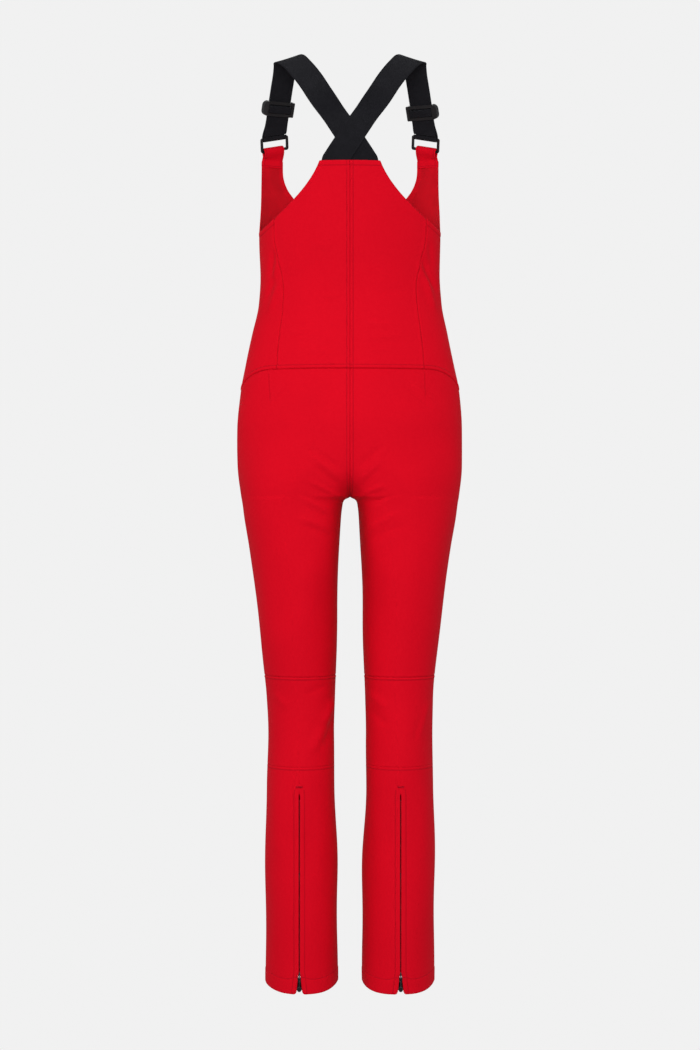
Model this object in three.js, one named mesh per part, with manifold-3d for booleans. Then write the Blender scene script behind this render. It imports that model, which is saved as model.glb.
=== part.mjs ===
// Bib ski trousers with crossed elastic braces, held up at the shoulders.
// Millimetres. +X is the wearer's left, -Y the front, +Z up.
// Heights are given above the hem, and the whole garment is then lowered so that
// the origin lies midway between the two points where the braces rest on the shoulders.

import * as THREE from 'three';
import { mergeVertices } from 'three/addons/utils/BufferGeometryUtils.js';
import Module from 'manifold-3d';

const wasm = await Module();
wasm.setup();

// Driving dimensions
const SHOULDER_HEIGHT = 1481.5; // underside of the braces above the hem
const FABRIC = 2; // bonded softshell
const SEAM_GAP = 0.8; // between two neighbouring panels
const HEM = 0;
const KNEE_TOP = 497; // seam above the back of the knee
const KNEE_BOTTOM = 356; // seam below the back of the knee
const CROTCH = 781;
const HIP = 890; // the two leg sections have become one body section
const WAIST_BACK = 981; // waist seam at the centre back
const WAIST_SIDE = 950;
const ARMPIT = 1205; // bottom of the armhole, at the side
const BACK_TOP = 1307; // top edge of the back bib
const BACK_TOP_HALF = 48;
const NECKLINE = 1235; // centre front
const FRONT_TOP = 1331; // where the bib ends and the ring loops begin
const ARMHOLE_X = 144; // outer edge of the front bib

const WEBBING = 40;
const WEBBING_THICK = 1.6;

const ZIP_SLIT = 1.5; // half the gap between the fabric lips
const ANKLE_ZIP_X = 79.5;
const ANKLE_ZIP_TOP = 307;
const ANKLE_ZIP_BOTTOM = 6;
const ANKLE_SLIDER_Z = 28;
const ANKLE_FLARE_TOP = 35; // the lips part below this height
const ANKLE_FLARE = 7; // half the opening at the hem
const FRONT_ZIP_BOTTOM = 895;
const FRONT_ZIP_TOP = 1228;

// Outline of the garment: half width, half the gap between the legs, back and front.
const STATIONS = [
  { z: 0, outer: 134.5, inner: 19, back: 82, front: -68 },
  { z: 180, outer: 134.5, inner: 21, back: 82, front: -62 },
  { z: 320, outer: 133, inner: 25, back: 82, front: -58 },
  { z: 400, outer: 130, inner: 25, back: 78, front: -60 },
  { z: 460, outer: 133, inner: 23, back: 76, front: -66 },
  { z: 520, outer: 139, inner: 22, back: 80, front: -74 },
  { z: 600, outer: 147, inner: 21, back: 88, front: -84 },
  { z: 700, outer: 161, inner: 17, back: 98, front: -92 },
  { z: 750, outer: 169, inner: 15, back: 104, front: -95 },
  { z: 768, outer: 171, inner: 13, back: 106, front: -96 },
  { z: 776, outer: 172.2, inner: 10, back: 107.2, front: -96.6 },
  { z: 781, outer: 173, inner: 0.5, back: 108, front: -97 },
  { z: 830, outer: 178, inner: 0, back: 115, front: -98 },
  { z: 890, outer: 179, inner: 0, back: 117, front: -98 },
  { z: 950, outer: 175, inner: 0, back: 104, front: -98 },
  { z: 990, outer: 168, inner: 0, back: 96, front: -98 },
  { z: 1040, outer: 158, inner: 0, back: 90, front: -98 },
  { z: 1090, outer: 147, inner: 0, back: 87, front: -98 },
  { z: 1140, outer: 143, inner: 0, back: 88, front: -98 },
  { z: 1205, outer: 144, inner: 0, back: 91, front: -98 },
  { z: 1310, outer: 143, inner: 0, back: 91, front: -98 },
  { z: 1360, outer: 143, inner: 0, back: 91, front: -98 },
];
// How much squarer than an ellipse the section's inner half is at the top of the thigh.
const INNER_FULLNESS = 1.2;
const JOIN_LEAD = 4; // the legs start to merge this far below the crotch
// The front bib stands wider than the body above the armpit, so its tabs face forward.
const FRONT_SPREAD = 42;
const FRONT_SPREAD_TOP = 1350;

const fabricRed = { color: 0xd00720, roughness: 0.78, metalness: 0 };
const fabricInside = { color: 0xa50518, roughness: 0.85, metalness: 0 };
const liningGrey = { color: 0x2a2a2e, roughness: 0.7, metalness: 0 };
const webbingBlack = { color: 0x1c1b20, roughness: 0.85, metalness: 0 };
const plasticBlack = { color: 0x17171a, roughness: 0.35, metalness: 0 };
const zipTape = { color: 0x9e0a1e, roughness: 0.8, metalness: 0 };
const zipTeeth = { color: 0x1a1a1c, roughness: 0.4, metalness: 0 };
const zipMetal = { color: 0x2c2c2f, roughness: 0.3, metalness: 0.8 };

const garment = new THREE.Group();
garment.position.z = -SHOULDER_HEIGHT;

function lerp(a, b, t) {
  return a + (b - a) * t;
}

function smooth(t) {
  const c = Math.min(1, Math.max(0, t));
  return c * c * (3 - 2 * c);
}

// Smooth value of one outline measure at a height.
function outline(key, z) {
  const last = STATIONS.length - 1;
  let i = 0;
  while (i < last - 1 && STATIONS[i + 1].z < z) i += 1;
  const a = STATIONS[i];
  const b = STATIONS[i + 1];
  const before = STATIONS[Math.max(0, i - 1)];
  const after = STATIONS[Math.min(last, i + 2)];
  const h = b.z - a.z;
  const t = Math.min(1, Math.max(0, (z - a.z) / h));
  const slopeA = slope(before, a, b, key);
  const slopeB = slope(a, b, after, key);
  const t2 = t * t;
  const t3 = t2 * t;
  return (2 * t3 - 3 * t2 + 1) * a[key] + (t3 - 2 * t2 + t) * h * slopeA
    + (3 * t2 - 2 * t3) * b[key] + (t3 - t2) * h * slopeB;
}

// A slope that never lets the curve overshoot its stations.
function slope(before, here, after, key) {
  if (before === here || after === here) return 0;
  const left = (here[key] - before[key]) / (here.z - before.z);
  const right = (after[key] - here[key]) / (after.z - here.z);
  if (left * right <= 0) return 0;
  return (2 * left * right) / (left + right);
}

// The wearer's left half of the body section at a height: an ellipse cut at x = 0.
function section(z, angle) {
  let outer = outline('outer', z);
  if (angle < 0 && z > ARMPIT) {
    outer += FRONT_SPREAD * smooth((z - ARMPIT) / (FRONT_SPREAD_TOP - ARMPIT));
  }
  const joined = smooth((z - CROTCH + JOIN_LEAD) / (HIP - CROTCH + JOIN_LEAD));
  const inner = z < CROTCH ? outline('inner', z) : lerp(0.5, -outer, joined);
  const back = outline('back', z);
  const front = outline('front', z);
  return {
    cx: (outer + inner) / 2,
    cy: (back + front) / 2,
    a: (outer - inner) / 2,
    b: (back - front) / 2,
    power: 2 + INNER_FULLNESS * smooth((z - 600) / 170) * (1 - smooth((z - 790) / 90)),
  };
}

// Angle 0 is the side of the body, positive angles go round the back.
function surface(angle, z, inward = 0) {
  const s = section(z, angle);
  let c = Math.cos(angle);
  let n = Math.sin(angle);
  let outX = c / s.a;
  let outY = n / s.b;
  if (c < 0) {
    c = -((-c) ** (2 / s.power));
    n = Math.sign(n) * Math.abs(n) ** (2 / s.power);
    outX = -((-c) ** (s.power - 1)) / s.a;
    outY = (Math.sign(n) * Math.abs(n) ** (s.power - 1)) / s.b;
  }
  const length = Math.hypot(outX, outY);
  const x = s.cx + s.a * c - (inward * outX) / length;
  const y = s.cy + s.b * n - (inward * outY) / length;
  return new THREE.Vector3(x, y, z);
}

// Angle at which the section passes a given x.
function angleAt(x, z, side) {
  const s = section(z, side);
  const share = Math.min(1, Math.max(-1, (x - s.cx) / s.a));
  const cosine = share < 0 ? -((-share) ** (s.power / 2)) : share;
  return side * Math.acos(cosine);
}

// One closed body with merged vertices and faces pointing out.
function closed(source) {
  const bare = source.index ? source.clone() : source;
  bare.deleteAttribute('normal');
  bare.deleteAttribute('uv');
  const merged = mergeVertices(bare, 1e-3);
  const p = merged.attributes.position;
  const index = merged.index;
  const kept = [];
  let volume = 0;
  const a = new THREE.Vector3();
  const b = new THREE.Vector3();
  const c = new THREE.Vector3();
  for (let i = 0; i < index.count; i += 3) {
    const [ia, ib, ic] = [index.getX(i), index.getX(i + 1), index.getX(i + 2)];
    if (ia === ib || ib === ic || ia === ic) continue;
    kept.push(ia, ib, ic);
    a.fromBufferAttribute(p, ia);
    b.fromBufferAttribute(p, ib);
    c.fromBufferAttribute(p, ic);
    volume += a.dot(b.cross(c)) / 6;
  }
  if (volume < 0) {
    for (let i = 0; i < kept.length; i += 3) {
      [kept[i + 1], kept[i + 2]] = [kept[i + 2], kept[i + 1]];
    }
  }
  merged.setIndex(kept);
  merged.computeVertexNormals();
  return merged;
}

function add(name, geometry, look) {
  const mesh = new THREE.Mesh(closed(geometry), new THREE.MeshStandardMaterial(look));
  mesh.name = name;
  garment.add(mesh);
  return mesh;
}

function mirrored(geometry) {
  return geometry.clone().applyMatrix4(new THREE.Matrix4().makeScale(-1, 1, 1));
}

// The same piece on the wearer's left and, mirrored, on the right.
function addPair(name, geometry, look) {
  add(`${name}_L`, geometry, look);
  add(`${name}_R`, mirrored(geometry), look);
}

// A grid of cells, bent into place: place(u, v, w) with u, v, w from 0 to 1.
function bent(uStops, vStops, place) {
  const nu = uStops.length - 1;
  const nv = vStops.length - 1;
  const geometry = new THREE.BoxGeometry(1, 1, 1, nu, nv, 1);
  const p = geometry.attributes.position;
  for (let i = 0; i < p.count; i += 1) {
    const iu = Math.round((p.getX(i) + 0.5) * nu);
    const iv = Math.round((p.getY(i) + 0.5) * nv);
    const at = place(uStops[iu], vStops[iv], p.getZ(i) + 0.5);
    p.setXYZ(i, at.x, at.y, at.z);
  }
  return geometry;
}

function even(count) {
  return Array.from({ length: count + 1 }, (_, i) => i / count);
}

// A fabric panel on the garment's surface. rows are heights, each a number or a
// function of the angle; from and to are the angles of its two upright edges.
function panel({ rows, from, to, columns, thick = FABRIC, inward = 0 }) {
  const height = (row, angle) => (typeof row === 'number' ? row : row(angle));
  return bent(columns, even(rows.length - 1), (u, v, w) => {
    const row = rows[Math.round(v * (rows.length - 1))];
    let z = height(row, lerp(from(CROTCH), to(CROTCH), u));
    let angle = lerp(from(z), to(z), u);
    for (let i = 0; i < 6; i += 1) {
      z = height(row, angle);
      angle = lerp(from(z), to(z), u);
    }
    return surface(angle, z, inward + thick * (1 - w));
  });
}

const half = SEAM_GAP / 2;

// Edges that neighbouring panels share, as angles at a height.
const backMiddle = (z) => angleAt(z < CROTCH ? -1000 : half, z, 1);
const backMiddleLeg = (z) => backMiddle(z) - (z < CROTCH ? half / section(z, 1).b : 0);
const frontMiddle = (z) => angleAt(z < CROTCH ? -1000 : frontSlit(z), z, -1);
const frontMiddleLeg = (z) => frontMiddle(z) + (z < CROTCH ? half / section(z, -1).b : 0);
const backSide = (z) => half / section(z, 1).b;
const frontSide = (z) => -half / section(z, -1).b;

function frontSlit(z) {
  return lerp(half, ZIP_SLIT, smooth((z - (FRONT_ZIP_BOTTOM - 12)) / 10));
}

// Waist seam: level across the back, dropping to the side; level round the front.
function waist(angle) {
  const level = THREE.MathUtils.degToRad(44);
  if (angle < 0) return WAIST_SIDE;
  return lerp(WAIST_SIDE, WAIST_BACK, smooth(0.5 + 0.5 * (angle / level)) * 2 - 1);
}
const aboveWaist = (angle) => waist(angle) + half;
const belowWaist = (angle) => waist(angle) - half;

// Princess seam between the back panel and the side back panel.
function princess(z) {
  const x = z > 1109
    ? lerp(105, 121, smooth((z - 1109) / (1200 - 1109)))
    : lerp(105, 116, smooth((1109 - z) / (1109 - WAIST_BACK)));
  return angleAt(x, z, 1);
}

// Armhole edge of the back bib, from the top corner down to the side.
const PRINCESS_TOP = 1222; // where the princess seam runs out at the armhole
const armholeSide = (angle) => lerp(ARMPIT, PRINCESS_TOP, Math.min(1, angle / 0.56));
function backArmhole(z) {
  const t = Math.min(1, Math.max(0, (BACK_TOP - z) / (BACK_TOP - ARMPIT)));
  return lerp(BACK_TOP_HALF, 142, 0.43 * t + 0.57 * t * t);
}

// Neckline of the front bib, from the centre up to the inner edge of the tab.
function neckline(z) {
  const t = Math.min(1, Math.max(0, (z - NECKLINE) / (1312 - NECKLINE)));
  return 110 * Math.sin(Math.acos(1 - t)) ** 0.9;
}

const legColumns = [0, 0.14, 0.28, 0.42, 0.56, 0.7, 0.84, 1];

const backLegRows = [KNEE_TOP + half, 560, 630, 700, 750, 768, 776, CROTCH, 788, 800, 820,
  850, HIP, 930, belowWaist];
addPair('back_leg', panel({
  rows: backLegRows, from: backSide, to: backMiddleLeg, columns: legColumns,
}), fabricRed);

const frontLegRows = [KNEE_TOP + half, 560, 630, 700, 750, 768, 776, CROTCH, 788, 800, 820,
  850, HIP, 900, belowWaist];
addPair('front_thigh', panel({
  rows: frontLegRows, from: frontSide, to: frontMiddleLeg, columns: legColumns,
}), fabricRed);

addPair('front_shin', panel({
  rows: [HEM, 90, 180, 320, 400, 450, KNEE_TOP - half],
  from: frontSide,
  to: (z) => -Math.PI + half / section(z, -1).b,
  columns: legColumns,
}), fabricRed);

addPair('back_knee', panel({
  rows: [KNEE_BOTTOM + half, 400, 450, KNEE_TOP - half],
  from: backSide,
  to: (z) => Math.PI - half / section(z, 1).b,
  columns: legColumns,
}), fabricRed);

// Back of the calf, slit up the middle for the ankle zip.
function lipGap(z) {
  if (z > ANKLE_ZIP_TOP + 6) return half;
  return ZIP_SLIT + (ANKLE_FLARE - ZIP_SLIT) * Math.max(0, 1 - z / ANKLE_FLARE_TOP);
}
const calfRows = [HEM, 12, ANKLE_FLARE_TOP, 100, 180, 260, ANKLE_ZIP_TOP + 5,
  ANKLE_ZIP_TOP + 8, KNEE_BOTTOM - half];
addPair('calf_outer', panel({
  rows: calfRows,
  from: backSide,
  to: (z) => angleAt(ANKLE_ZIP_X + lipGap(z), z, 1),
  columns: [0, 0.22, 0.44, 0.66, 0.84, 0.93, 1],
}), fabricRed);
addPair('calf_inner', panel({
  rows: calfRows,
  from: (z) => Math.PI - half / section(z, 1).b,
  to: (z) => angleAt(ANKLE_ZIP_X - lipGap(z), z, 1),
  columns: [0, 0.22, 0.44, 0.66, 0.84, 0.93, 1],
}), fabricRed);

// Bib, back: a middle panel on each side of the centre seam and a side panel.
addPair('back_bib', panel({
  rows: [aboveWaist, 1010, 1040, 1075, 1109, 1150, 1190, PRINCESS_TOP, 1236, 1256, 1280,
    BACK_TOP],
  from: backMiddle,
  to: (z) => Math.max(princess(z) + half / 100, angleAt(backArmhole(z), z, 1)),
  columns: even(5),
}), fabricRed);
addPair('back_side', panel({
  rows: [aboveWaist, 985, 1010, 1040, 1075, 1109, 1150, 1185, armholeSide],
  from: backSide,
  to: (z) => princess(z) - half / 100,
  columns: even(4),
}), fabricRed);

// Bib, front: one panel on each side of the zip, running up into the tab.
const tabTilt = (angle) => FRONT_TOP - 5 * Math.cos(angle);
addPair('front_bib', panel({
  rows: [aboveWaist, 1000, 1060, 1120, 1170, ARMPIT, NECKLINE, 1238, 1246, 1258, 1275,
    1295, 1312, tabTilt],
  from: (z) => (z <= ARMPIT ? frontSide(z) : frontSide(z) + angleAt(ARMHOLE_X, z, -1)),
  to: (z) => angleAt(z < NECKLINE + 0.5 ? frontSlit(z) : Math.max(ZIP_SLIT, neckline(z)), z, -1),
  columns: even(8),
}), fabricRed);

// Facing inside the top of the back bib, where the braces are sewn in.
add('back_bib_facing', panel({
  rows: [BACK_TOP - 30, BACK_TOP - 3],
  from: () => THREE.MathUtils.degToRad(73),
  to: () => THREE.MathUtils.degToRad(107),
  columns: even(6),
  thick: 0.8,
  inward: 12,
}), fabricInside);

// Snow gaiters inside the ankles, each with an elastic at its lower end.
function cuff(low, high, inward, thick) {
  const levels = [low, (low + high) / 2, high];
  const profile = levels.map((z) => new THREE.Vector2(2, z));
  levels.slice().reverse().forEach((z) => profile.push(new THREE.Vector2(1, z)));
  profile.push(profile[0].clone());
  const geometry = new THREE.LatheGeometry(profile, 24);
  const p = geometry.attributes.position;
  for (let i = 0; i < p.count; i += 1) {
    const angle = Math.atan2(p.getZ(i), p.getX(i));
    const outside = Math.hypot(p.getX(i), p.getZ(i)) > 1.5;
    const at = surface(angle, p.getY(i), outside ? inward : inward + thick);
    p.setXYZ(i, at.x, at.y, at.z);
  }
  return geometry;
}
addPair('snow_gaiter', cuff(30, 190, 11, 1), liningGrey);
addPair('gaiter_elastic', cuff(32, 46, 12.6, 1.2), webbingBlack);

// Booleans for the small moulded and cast pieces.
function solid(geometry) {
  const g = closed(geometry);
  return new wasm.Manifold(new wasm.Mesh({
    numProp: 3,
    vertProperties: new Float32Array(g.attributes.position.array),
    triVerts: new Uint32Array(g.index.array),
  }));
}

function fromSolid(manifold) {
  const mesh = manifold.getMesh();
  const geometry = new THREE.BufferGeometry();
  geometry.setAttribute('position', new THREE.BufferAttribute(mesh.vertProperties, 3));
  geometry.setIndex(Array.from(mesh.triVerts));
  return geometry;
}

function block(x0, x1, y0, y1, z0, z1) {
  return new THREE.BoxGeometry(x1 - x0, y1 - y0, z1 - z0)
    .translate((x0 + x1) / 2, (y0 + y1) / 2, (z0 + z1) / 2);
}

function union(...geometries) {
  return fromSolid(geometries.map(solid).reduce((a, b) => a.add(b)));
}

function roundedRect(shape, x0, x1, y0, y1, r) {
  shape.moveTo(x0 + r, y0);
  shape.lineTo(x1 - r, y0);
  shape.absarc(x1 - r, y0 + r, r, -Math.PI / 2, 0);
  shape.lineTo(x1, y1 - r);
  shape.absarc(x1 - r, y1 - r, r, 0, Math.PI / 2);
  shape.lineTo(x0 + r, y1);
  shape.absarc(x0 + r, y1 - r, r, Math.PI / 2, Math.PI);
  shape.lineTo(x0, y0 + r);
  shape.absarc(x0 + r, y0 + r, r, Math.PI, 1.5 * Math.PI);
  return shape;
}

// Zip parts, drawn round a line where the fabric's outer face is y = 0 and +y is
// outward. The coil lies behind the fabric lips, so only the pull is outside.
const TAPE_INNER = 2.9;
const TAPE_OUTER = 10;
const TEETH_IN = 0.7;
const TEETH_OUT = 2.6;
const TAPE_IN = -6.4;
const TAPE_OUT = -5.6;
const COIL_IN = -7;
const COIL_OUT = -4.9;
const SLIDER_HALF = 4.6;
const SLIDER_LONG = 6.5; // half its length
const PLATE_OUT = -3.3; // outer face of the slider's front plate
const PLATE_IN = -8.6; // inner face of its rear plate
const PLATE = 1.1;
const LIP = 0.9; // the flanges that hold the tape
const PULL_Y = 1.6;

function sliderBody(dividerLow) {
  const divider = dividerLow ? [-6.5, -3.5] : [3.5, 6.5];
  const bridge = new THREE.Shape();
  bridge.moveTo(-4, PLATE_OUT - 0.5);
  bridge.lineTo(4, PLATE_OUT - 0.5);
  bridge.lineTo(4, 1.6);
  bridge.lineTo(2.6, 3.6);
  bridge.lineTo(-2.6, 3.6);
  bridge.lineTo(-4, 1.6);
  const eye = new THREE.Path();
  bridge.holes.push(roundedRect(eye, -1.1, 1.1, PULL_Y - 1.1, PULL_Y + 1.1, 0.4));
  const m = new THREE.Matrix4().makeBasis(
    new THREE.Vector3(0, 0, 1), new THREE.Vector3(0, 1, 0), new THREE.Vector3(-1, 0, 0),
  );
  const options = { depth: 1.6, bevelEnabled: false, curveSegments: 2 };
  const upright = new THREE.ExtrudeGeometry(bridge, options);
  upright.translate(0, 0, -0.8).applyMatrix4(m);
  const long = SLIDER_LONG;
  const lips = [
    PLATE_OUT - PLATE - LIP,
    PLATE_OUT - PLATE + 0.1,
    PLATE_IN + PLATE - 0.1,
    PLATE_IN + PLATE + LIP,
  ];
  return union(
    block(-SLIDER_HALF, SLIDER_HALF, PLATE_OUT - PLATE, PLATE_OUT, -long, long),
    block(-SLIDER_HALF, SLIDER_HALF, PLATE_IN, PLATE_IN + PLATE, -long, long),
    block(3.3, SLIDER_HALF, lips[0], lips[1], -long, long),
    block(-SLIDER_HALF, -3.3, lips[0], lips[1], -long, long),
    block(3.3, SLIDER_HALF, lips[2], lips[3], -long, long),
    block(-SLIDER_HALF, -3.3, lips[2], lips[3], -long, long),
    block(-0.35, 0.35, PLATE_IN + 0.5, PLATE_OUT - 0.5, divider[0], divider[1]),
    upright,
  );
}

function pullTab(length) {
  const shape = roundedRect(new THREE.Shape(), -4, 4, -length, 0.7, 0.6);
  shape.holes.push(roundedRect(new THREE.Path(), -1.3, 1.3, -5.4, -0.6, 0.3));
  return new THREE.ExtrudeGeometry(shape, { depth: 1.2, bevelEnabled: false, curveSegments: 2 })
    .rotateX(Math.PI / 2).translate(0, PULL_Y + 0.6, 0);
}

// Places a zip piece on its line; facing is 1 for the back and -1 for the front.
function onLine(geometry, x, y, z, facing) {
  return geometry.clone().rotateZ(facing > 0 ? 0 : Math.PI).translate(x, y, z);
}

const calfBack = 82;
function ankle(geometry, z = 0) {
  return onLine(geometry, ANKLE_ZIP_X, calfBack, z, 1);
}
const tapeLow = ANKLE_ZIP_BOTTOM;
const tapeHigh = ANKLE_ZIP_TOP + 14;
const ankleTape = (x0, x1) => ankle(block(x0, x1, TAPE_IN, TAPE_OUT, tapeLow, tapeHigh));
addPair('ankle_tape_outer', ankleTape(TAPE_INNER, TAPE_OUTER), zipTape);
addPair('ankle_tape_inner', ankleTape(-TAPE_OUTER, -TAPE_INNER), zipTape);
const teethLow = ANKLE_ZIP_BOTTOM + 3;
const ankleTeeth = (x0, x1) => ankle(block(x0, x1, COIL_IN, COIL_OUT, teethLow, ANKLE_ZIP_TOP));
addPair('ankle_teeth_outer', ankleTeeth(TEETH_IN, TEETH_OUT), zipTeeth);
addPair('ankle_teeth_inner', ankleTeeth(-TEETH_OUT, -TEETH_IN), zipTeeth);
addPair('ankle_slider', ankle(sliderBody(true), ANKLE_SLIDER_Z), zipMetal);
addPair('ankle_pull', ankle(pullTab(24), ANKLE_SLIDER_Z), zipMetal);
const bartack = block(-5, 5, 0.3, 1.1, ANKLE_ZIP_TOP + 17, ANKLE_ZIP_TOP + 20);
addPair('ankle_bartack', ankle(bartack), fabricRed);

const bibFront = -98;
const FRONT_SLIDER_Z = FRONT_ZIP_TOP - 8;
function fly(geometry, z = 0) {
  return onLine(geometry, 0, bibFront, z, -1);
}
const flyTapeLow = FRONT_ZIP_BOTTOM - 8;
const flyTapeHigh = FRONT_ZIP_TOP + 3;
const flyTape = (x0, x1) => fly(block(x0, x1, TAPE_IN, TAPE_OUT, flyTapeLow, flyTapeHigh));
add('front_tape_L', flyTape(-TAPE_OUTER, -TAPE_INNER), zipTape);
add('front_tape_R', flyTape(TAPE_INNER, TAPE_OUTER), zipTape);
const flyTeeth = (x0, x1, z0, z1) => fly(block(x0, x1, COIL_IN, COIL_OUT, z0, z1));
add('front_teeth_L', flyTeeth(-TEETH_OUT, -TEETH_IN, FRONT_ZIP_BOTTOM, FRONT_ZIP_TOP), zipTeeth);
add('front_teeth_R', flyTeeth(TEETH_IN, TEETH_OUT, FRONT_ZIP_BOTTOM, FRONT_ZIP_TOP), zipTeeth);
const zipStop = flyTeeth(-2.6, 2.6, FRONT_ZIP_BOTTOM - 3.6, FRONT_ZIP_BOTTOM - 0.4);
add('front_zip_stop', zipStop, zipMetal);
add('front_slider', fly(sliderBody(false), FRONT_SLIDER_Z), zipMetal);
add('front_pull', fly(pullTab(30), FRONT_SLIDER_Z), zipMetal);

// Braces. On each side the webbing is sewn inside the back bib, crosses to the other
// shoulder, and runs straight down the chest to the ring.
const RING_AT = new THREE.Vector3(123, -57.5, 1364); // middle of the ring's upper bar
const RUN_UP = new THREE.Vector3(-0.16, 0.3, 0.94).normalize();
const RUN_ACROSS = new THREE.Vector3(0.872, 0.489, -0.03);
RUN_ACROSS.addScaledVector(RUN_UP, -RUN_ACROSS.dot(RUN_UP)).normalize();
const RUN_OUT = new THREE.Vector3().crossVectors(RUN_ACROSS, RUN_UP).normalize();
const RING_ACROSS = new THREE.Vector3(0.885, 0.41, -0.2).normalize();
const RING_UP = RUN_UP.clone().addScaledVector(RING_ACROSS, -RUN_UP.dot(RING_ACROSS)).normalize();
const RING_OUT = new THREE.Vector3().crossVectors(RING_ACROSS, RING_UP).normalize();
const RING_BARS = 20; // between the middles of its two long bars
const RING_BAR = 4.2;
const RING_THICK = 3.2;
const PLY_OUT = 3.8; // webbing's middle from the ring bar's middle
const ADJUSTER_AT = { L: 48, R: 42 }; // up the webbing from the ring
const STRAIGHT_RUN = 106;
const CROSS_Z = 1344;
const CROSS_SLOPE = Math.tan(THREE.MathUtils.degToRad(33));

function runPoint(along, out, from = RING_AT) {
  return from.clone().addScaledVector(RUN_UP, along).addScaledVector(RUN_OUT, out);
}

// A band of webbing through a list of { p, across } with its width along across.
function ribbon(stops, width, thick) {
  const frames = stops.map((stop, i) => {
    const next = stops[Math.min(stops.length - 1, i + 1)].p;
    const last = stops[Math.max(0, i - 1)].p;
    const along = next.clone().sub(last).normalize();
    const out = new THREE.Vector3().crossVectors(along, stop.across).normalize();
    return { p: stop.p, across: stop.across, out };
  });
  return bent([0, 1], even(frames.length - 1), (u, v, w) => {
    const f = frames[Math.round(v * (frames.length - 1))];
    return f.p.clone().addScaledVector(f.across, (u - 0.5) * width)
      .addScaledVector(f.out, (w - 0.5) * thick);
  });
}

// A point on the webbing's inner ply, a little way up from the ring.
function behindRing(up) {
  const p = RING_AT.clone().addScaledVector(RING_OUT, -PLY_OUT).addScaledVector(RING_UP, up);
  return { p, across: RING_ACROSS };
}

function braceStops(inward) {
  const back = new THREE.Vector3(Math.cos(0.576), 0, -Math.sin(0.576));
  const backStops = [BACK_TOP - 23, BACK_TOP, 1322, CROSS_Z, 1360, 1385].map((z) => {
    const x = (z - CROSS_Z) * CROSS_SLOPE;
    const away = Math.max(0, z - BACK_TOP);
    const y = surface(angleAt(Math.abs(x), BACK_TOP, 1), BACK_TOP).y - inward - away ** 2 / 330;
    const round = THREE.MathUtils.clamp(-x / 216, -0.2, 0.2) * Math.max(0, 1 - away / 30);
    const forward = (-back.z * 2 * away) / 330;
    return { p: new THREE.Vector3(x, y, z), across: back.clone().setY(round + forward).normalize() };
  });
  const upper = [
    [45, 63, 1411], [64.5, 44, 1443], [80.5, 26, 1465], [92.5, 10, 1478.5], [100.5, -4, 1482.3],
    [104, -15, 1479.5], [105.2, -22, 1473],
  ];
  const crest = new THREE.Vector3(0.914, 0, -0.407);
  const shoulderStops = upper.map(([x, y, z], i) => {
    const t = (i + 1) / upper.length;
    const across = t < 0.6 ? back.clone().lerp(crest, t / 0.6)
      : crest.clone().lerp(RUN_ACROSS, (t - 0.6) / 0.4);
    return { p: new THREE.Vector3(x, y, z), across: across.normalize() };
  });
  const runStops = [STRAIGHT_RUN, 80, 50, 20].map((s) => ({ p: runPoint(s, 0), across: RUN_ACROSS }));
  const turn = [0, 30, 60, 90, 120, 150, 180].map((degrees) => {
    const angle = THREE.MathUtils.degToRad(degrees);
    const p = RING_AT.clone().addScaledVector(RING_OUT, PLY_OUT * Math.cos(angle))
      .addScaledVector(RING_UP, -PLY_OUT * Math.sin(angle));
    return { p, across: RING_ACROSS };
  });
  turn.push(behindRing(4));
  return [...backStops, ...shoulderStops, ...runStops, ...turn];
}
add('brace_L', ribbon(braceStops(8.5), WEBBING, WEBBING_THICK), webbingBlack);
add('brace_R', mirrored(ribbon(braceStops(5), WEBBING, WEBBING_THICK)), webbingBlack);

// The webbing's end comes back up from the ring and is sewn round the adjuster's bar.
function returnStops(side) {
  const bar = ADJUSTER_AT[side];
  const stops = [behindRing(5)];
  [[14, -2.6], [22, -1.9], [bar - 2, -1.9], [bar + 2.5, -1.9], [bar + 4.2, -3.75], [bar + 2.5, -5.6],
    [bar - 2, -5.6], [bar - 6.5, -5.4]].forEach(([s, out]) => {
    stops.push({ p: runPoint(s, out), across: RUN_ACROSS });
  });
  return stops;
}
add('brace_return_L', ribbon(returnStops('L'), WEBBING - 1, 1.4), webbingBlack);
add('brace_return_R', mirrored(ribbon(returnStops('R'), WEBBING - 1, 1.4)), webbingBlack);

// Adjuster: x across the webbing, y outward, z up along it.
const ADJUSTER_HALF = 25.5;
function adjusterBody() {
  const cheek = (x0, x1, r) => {
    const shape = roundedRect(new THREE.Shape(), x0, x1, -12, 12, r);
    return new THREE.ExtrudeGeometry(shape, { depth: 8.4, bevelEnabled: false, curveSegments: 4 })
      .rotateX(Math.PI / 2).translate(0, 2.8, 0);
  };
  const roundEnd = new THREE.Shape();
  const [end, r] = [ADJUSTER_HALF + 4, 8];
  roundEnd.moveTo(20.5, -12);
  roundEnd.lineTo(end - r, -12);
  roundEnd.absarc(end - r, r - 12, r, -Math.PI / 2, 0);
  roundEnd.absarc(end - r, 12 - r, r, 0, Math.PI / 2);
  roundEnd.lineTo(20.5, 12);
  const outerEnd = new THREE.ExtrudeGeometry(
    roundEnd, { depth: 8.4, bevelEnabled: false, curveSegments: 6 },
  ).rotateX(Math.PI / 2).translate(0, 2.8, 0);
  return union(
    cheek(-ADJUSTER_HALF, -20.5, 2),
    outerEnd,
    block(-21, 21, 1.3, 2.8, 7, 12),
    block(-21, 21, 1.3, 2.8, -12, -7),
    block(-21, 21, -5.6, -3.8, 7, 12),
    block(-21, 21, -5.6, -3.8, -12, -7.4),
    block(-21, 21, -4.6, -2.9, -2.4, 2.4),
  );
}

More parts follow.
